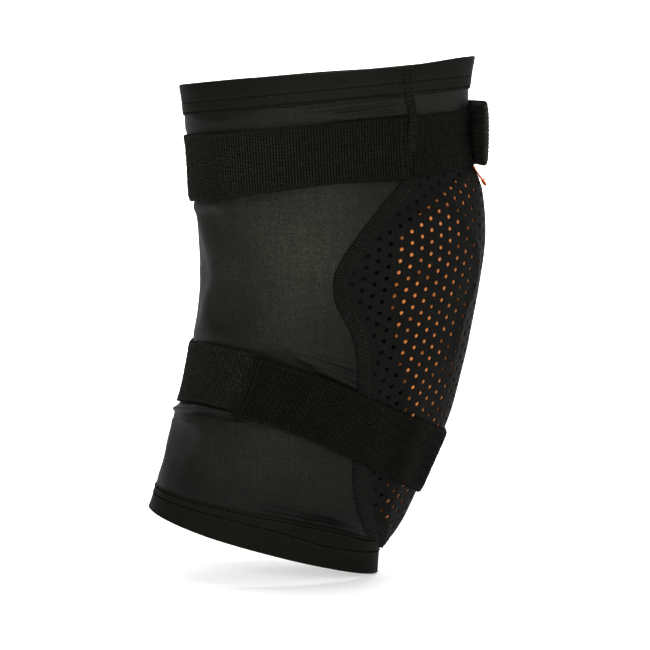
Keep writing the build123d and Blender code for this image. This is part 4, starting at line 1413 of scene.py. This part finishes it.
bag = Bag()
points, normals, leans = [], [], []
for along in np.arange(tape_start + 1.0, tape_end - 1.0, 1.35):
    x, y, normal_x, normal_y = tongue_place(along)
    for i, z in enumerate(np.arange(-TONGUE_HALF + 3.0, TONGUE_HALF - 2.6, 1.5)):
        # none on the rounded corners
        if along > tape_end - 3.5 and abs(z) > TONGUE_HALF - 5.0:
            continue
        out = float(tongue_curl(along, z)) - 1.6
        points.append([x + normal_x * out, y + normal_y * out,
                       TONGUE_Z + z - 0.6 * along / TONGUE_LENGTH])
        normals.append([-normal_x, -normal_y, 0])
        leans.append([0, 0, 1.0 if i % 2 else -1.0])
hooks(bag, np.array(points), np.array(normals), np.array(leans))
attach(bag.done("upper_hooks", HOOK_TAPE), "upper_free_end")

# two stitch rows across the end
bag = Bag()
z = np.linspace(-TONGUE_HALF + 2.6, TONGUE_HALF - 2.6, 60)
for back in (1.6, 3.4):
    along = TONGUE_LENGTH - back
    x, y, normal_x, normal_y = tongue_place(along)
    out = 1.35 + tongue_curl(along, z)
    path = np.stack([x + normal_x * out, y + normal_y * out, TONGUE_Z + z - 0.6], 1)
    stitches(bag, path, np.tile([normal_x, normal_y, 0], (60, 1)),
             length=1.9, radius=0.22, lift=0.15, sink=0.25)
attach(bag.done("upper_tongue_stitches", THREAD), "upper_free_end")

# ---------------------------------------------------------------- band behind the calf
rear_band, _ = band("lower_loop_base", (360 - 69.5, 69.5, 500), (BASE_TOP, BASE_BOTTOM),
                    lambda phi, sec: 0.15 + 0 * sec, 1.5, BASE_LOOP, "loop", wobble=0.25)
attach(rear_band, CALF)
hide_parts("lower_loop_band")


# ---------------------------------------------------------------- lower strap, over that band
def lower_height(phi, sec):
    angle = signed(phi)
    peel = 0.9 * (1 - ramp(-121, -109, angle))
    return 0.35 + front_part(angle, sec) + 2.25 * (1 - ramp(-78, -58, angle)) + peel


def lower_tilt(phi):
    turn = -np.asarray(phi, float)
    return -2.2 * ramp(55, 85, turn) - 2.1 * ramp(100, 120, turn)


def across_lower(middle, part):
    """phi and section at a share (0 top, 1 bottom) of the lower strap's width."""
    phi = middle + lower_tilt(middle) * (part - 0.5)
    return phi, LOWER_TOP(phi) + (LOWER_BOTTOM(phi) - LOWER_TOP(phi)) * part


def on_strap(phi):
    """Point in metres on the strap's middle line."""
    sec = (LOWER_TOP(phi) + LOWER_BOTTOM(phi)) / 2
    return tuple(float(x) * 0.001 for x in skin(phi, sec, lower_height(phi, sec) + 1.0))


def lower_part(name, angles, ends, start, wobble=0.0):
    return band(name, angles, (LOWER_TOP, LOWER_BOTTOM), lower_height, 2.2, OVERLAY, "over",
                tilt=lower_tilt, ends=ends, start=start, wobble=wobble)


main, position = lower_part("lower_strap_main", (66.0, -78.0, 500), (True, False), 0.0,
                            wobble=0.25)
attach(main, CALF)
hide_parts("lower_strap")
root, position = lower_part("lower_strap_root", (-78.0, -93.0, 120), (False, False), position)
on_strap(-78.5)
on_strap(-90.5)
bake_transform(root)
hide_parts("lower_strap_peel")
tip, _ = lower_part("lower_strap_end", (-93.0, -120.4, 160), (False, True), position)
on_strap(-95.5)
on_strap(-109.0)
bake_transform(tip)
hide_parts("lower_strap_tip")

# hook tape under the tip
part, middle = np.meshgrid(np.linspace(0.035, 0.965, 60), np.linspace(-106.0, -119.3, 60))
phi, sec = across_lower(middle, part)
height = lower_height(phi, sec)
tape = sheet("lower_hook_tape", phi, sec, height - 0.06, height - 0.55,
             (middle * 1.3, part * STRAP_WIDTH), HOOK_TAPE, flip=True)
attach(tape, "lower_free_tip")
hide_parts("lower_hook_patch")

bag = Bag()
middle, part = np.meshgrid(np.linspace(-107, -118.6, 11), np.linspace(0.07, 0.93, 22),
                           indexing="ij")
phi, sec = across_lower(middle.ravel(), part.ravel())
points = skin(phi, sec, lower_height(phi, sec) - 0.5)
normals = points - skin(phi, sec, lower_height(phi, sec) + 0.5)
hooks(bag, points, normals, np.cross(normals, [0, 1.0, 0]), height=0.65)
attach(bag.done("lower_hooks", HOOK_TAPE), "lower_free_tip")

END_THREAD = dict(length=1.8, radius=0.24, lift=0.2, sink=0.3)


def sew_lower(bag, middle, part, lift_off, **thread):
    phi, sec = across_lower(middle, part)
    sew(bag, phi, sec, lower_height(phi, sec) + lift_off, **thread)


# stitched border on the tip: two rows across the end, one along each edge
bag = Bag()
rows_across = np.linspace(0.06, 0.94, 120)
for row_phi in (-118.5, -116.6):
    sew_lower(bag, row_phi, rows_across, 2.55, **END_THREAD)
for part in (0.055, 0.945):
    sew_lower(bag, np.linspace(-96, -118.0, 160), part, 2.3,
              length=1.8, radius=0.2, lift=0.15, sink=0.25)
border_stitches = bag.done("lower_tip_stitches", THREAD)
on_strap(-95.5)
on_strap(-109.0)
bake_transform(border_stitches)

# tack at the strap's inner end
bag = Bag()
for row_phi in (64.2, 62.0):
    sew_lower(bag, row_phi, rows_across, 2.5, **END_THREAD)
tack = bag.done("lower_strap_stitches", THREAD)
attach(tack, CALF)
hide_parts("lower_strap_tack")

# ---------------------------------------------------------------- folded ribbon tab at the front
# seen from the side: y, z down to the fold and back up
ribbon_at, ribbon_line, ribbon_normal = plane_curve(
    [(-80.95, 58.6), (-81.7, 56.9), (-83.1, 54.9), (-84.8, 52.5), (-86.4, 50.0), (-87.9, 47.9),
     (-88.4, 47.3), (-88.1, 46.8), (-87.2, 47.1), (-85.7, 49.0), (-84.95, 50.8), (-84.1, 52.8),
     (-82.7, 54.9), (-81.25, 57.0), (-80.5, 58.2)], 80)
RIBBON_HALF = 8
along, x = np.meshgrid(ribbon_at, np.linspace(-RIBBON_HALF, RIBBON_HALF, 40), indexing="ij")
waver = 0.12 * np.sin(x * 0.5 + along * 0.3)
half_thick = 0.22 * (0.4 + 0.6 * rounded(RIBBON_HALF - np.abs(x), 0.5))
# the fold is twisted: its inner (+X) side stands higher than the outer
twist = (x + RIBBON_HALF) / (2 * RIBBON_HALF) * 2.8 * ramp(52.5, 47.5, ribbon_line[:, 1:])


def ribbon_face(off):
    return np.stack([x, ribbon_line[:, :1] + ribbon_normal[:, :1] * off,
                     ribbon_line[:, 1:] + ribbon_normal[:, 1:] * off + twist], -1)


ribbon = slab("ribbon_label", ribbon_face(half_thick + waver), ribbon_face(waver - half_thick),
              (x, along), RIBBON)
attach(ribbon, THIGH)
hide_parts("ribbon_tab")

# =====================================================================
# Paper sweep: flat floor that bends up to a wall on the +X side
# =====================================================================
FLOOR_Z = -191.0
SWEEP_START = SWEEP_RADIUS = 900


def paper(name, level, rough):
    shader = Shader(name)
    # the floor glows to the eye only: a little everywhere, which paints light into the object's cast
    # shadow, and more on the far sweep, so every side of the stage stays pale
    place = shader.node("ShaderNodeTexCoord").outputs["Object"]
    distance = shader.node("ShaderNodeVectorMath", {0: place}, operation="LENGTH")
    far = shader.node("ShaderNodeMapRange", {
        "From Min": 0.75, "From Max": 2.3, "Value": distance.outputs["Value"]},
        interpolation_type="SMOOTHSTEP")
    seen = shader.value(shader.node("ShaderNodeLightPath"), "Is Camera Ray")
    glow = shader.value(far).line(0.6, 0.3) * seen
    shader.feed(shader.bsdf, {"Emission Color": (1, 1, 1, 1), "Emission Strength": glow})
    mottle = shader.remap(shader.noise(3.0, 2.0, 0.5), 0, 1, 0, 1)
    dim = level * 0.985
    color = shader.node("ShaderNodeMix", {
        0: mottle, 6: (level, level, level, 1), 7: (dim, dim, dim, 1)}, data_type="RGBA")
    mat = shader.finish(color.outputs[2], rough, spec=0.2)
    # an eye behind the sweep looks through it
    geometry = shader.node("ShaderNodeNewGeometry")
    incoming, position = (
        shader.value(shader.node("ShaderNodeSeparateXYZ", {0: geometry.outputs[key]}))
        for key in ("Incoming", "Position"))
    behind = (incoming.math("GREATER_THAN", 0.0)
              * position.math("GREATER_THAN", (SWEEP_START + 1) / 1000))
    clear = shader.node("ShaderNodeBsdfTransparent").outputs[0]
    both = shader.node("ShaderNodeMixShader", {
        0: behind * seen, 1: shader.bsdf.outputs[0], 2: clear})
    output = next(node for node in shader.tree.nodes if node.type == "OUTPUT_MATERIAL")
    shader.feed(output, {"Surface": both.outputs[0]})
    return mat


sweep = [(x, FLOOR_Z) for x in np.linspace(-1600, SWEEP_START, 20)]
sweep += [(SWEEP_START + SWEEP_RADIUS * math.sin(turn),
           FLOOR_Z + SWEEP_RADIUS * (1 - math.cos(turn)))
          for turn in np.linspace(0.05, math.pi / 2, 24)]
sweep += [(SWEEP_START + SWEEP_RADIUS, z) for z in np.linspace(FLOOR_Z + 1000, 3000, 8)]
sweep_y = np.linspace(-2600, 2600, 20)
floor = make("floor", [[(x, y, z) for y in sweep_y] for x, z in sweep],
             grid_faces(len(sweep), len(sweep_y)).tolist(),
             mat=paper("floor_paper", level=0.92, rough=0.9))

# =====================================================================
# World, lights and camera (metres)
# =====================================================================
world = bpy.data.worlds.new("studio")
bpy.context.scene.world = world
world.use_nodes = True
tree = world.node_tree
background = tree.nodes["Background"]
background.inputs[0].default_value = (1, 1, 1, 1)
# dim as a light, bright to the eye
light_path = tree.nodes.new("ShaderNodeLightPath")
strength = tree.nodes.new("ShaderNodeMapRange")
strength.inputs["To Min"].default_value = 0.24
strength.inputs["To Max"].default_value = 0.92
tree.links.new(light_path.outputs["Is Camera Ray"], strength.inputs["Value"])
tree.links.new(strength.outputs[0], background.inputs[1])

# name, place, point it faces, side of the square, watts
CENTRE = (0, 0, 0)
LIGHTS = (
    ("key", (-1.5, 0.22, 0.45), CENTRE, 0.55, 12.5),
    ("fill", (-1.1, -1.1, 0.45), CENTRE, 0.9, 5.5),
    ("top", (0.1, 0.1, 1.5), CENTRE, 1.0, 14),
    ("rear", (1.2, 0.9, 0.7), CENTRE, 0.9, 3),
    ("far_side", (1.5, -0.35, 0.45), CENTRE, 0.8, 9),
    ("front", (0.35, -1.7, 0.35), CENTRE, 0.7, 5),
    ("backdrop", (0.6, 0, 1.2), (1.8, 0, 0.1), 1.6, 26),
)
for name, place, target, size, power in LIGHTS:
    light = bpy.data.lights.new(name, "AREA")
    light.shape = "RECTANGLE"
    light.size = light.size_y = size
    light.energy = power
    lamp = bpy.data.objects.new(name, light)
    bpy.context.scene.collection.objects.link(lamp)
    lamp.location = place
    lamp.rotation_euler = (Vector(target) - Vector(place)).to_track_quat("-Z", "Y").to_euler()

# the camera looks along +X from the outer side, tipped down, with the front to its right
CAMERA_TILT = math.radians(5.5)
CAMERA_DISTANCE = 1.55
CAMERA_TARGET = Vector((0, 0.00915, -0.03843))
VIEW_WIDTH = 0.3965     # seen at the target
forward = Vector((math.cos(CAMERA_TILT), 0, -math.sin(CAMERA_TILT)))
upward = Vector((math.sin(CAMERA_TILT), 0, math.cos(CAMERA_TILT)))
right = Vector((0, -1, 0))
lens = bpy.data.cameras.new("camera")
camera = bpy.data.objects.new("camera", lens)
bpy.context.scene.collection.objects.link(camera)
turned = Matrix((right, upward, -forward)).transposed().to_4x4()
camera.matrix_world = Matrix.Translation(CAMERA_TARGET - forward * CAMERA_DISTANCE) @ turned
lens.sensor_width = 36.0
lens.lens = 36.0 * CAMERA_DISTANCE / VIEW_WIDTH
lens.clip_end = 50
bpy.context.scene.camera = camera
bpy.context.scene.view_settings.view_transform = "Standard"

# =====================================================================
# Materials grouped by what each piece is made of; the loop below looks each piece up and assigns no slot
# =====================================================================
SLOTS = {
    "stretch_fabric": (REAR_KNIT, YOKE_KNIT),
    "perforated_fabric": (COVER_KNIT,),
    "lining_fabric": (LINING_MESH,),
    "impact_pad": (PAD_FOAM,),
    "hem_fabric": (HEM_TOP, HEM_BOTTOM),
    "thread": (THREAD, ROW_THREAD, SEAM_THREAD),
    "strap_webbing": (STRAP, TONGUE, OVERLAY),
    "loop_fabric": (LANDING, BASE_LOOP),
    "hook_tape": (HOOK_TAPE,),
    "ribbon": (RIBBON,),
}
for ob in bpy.data.objects:
    for slot, materials in SLOTS.items():
        if ob.active_material in materials:
            break
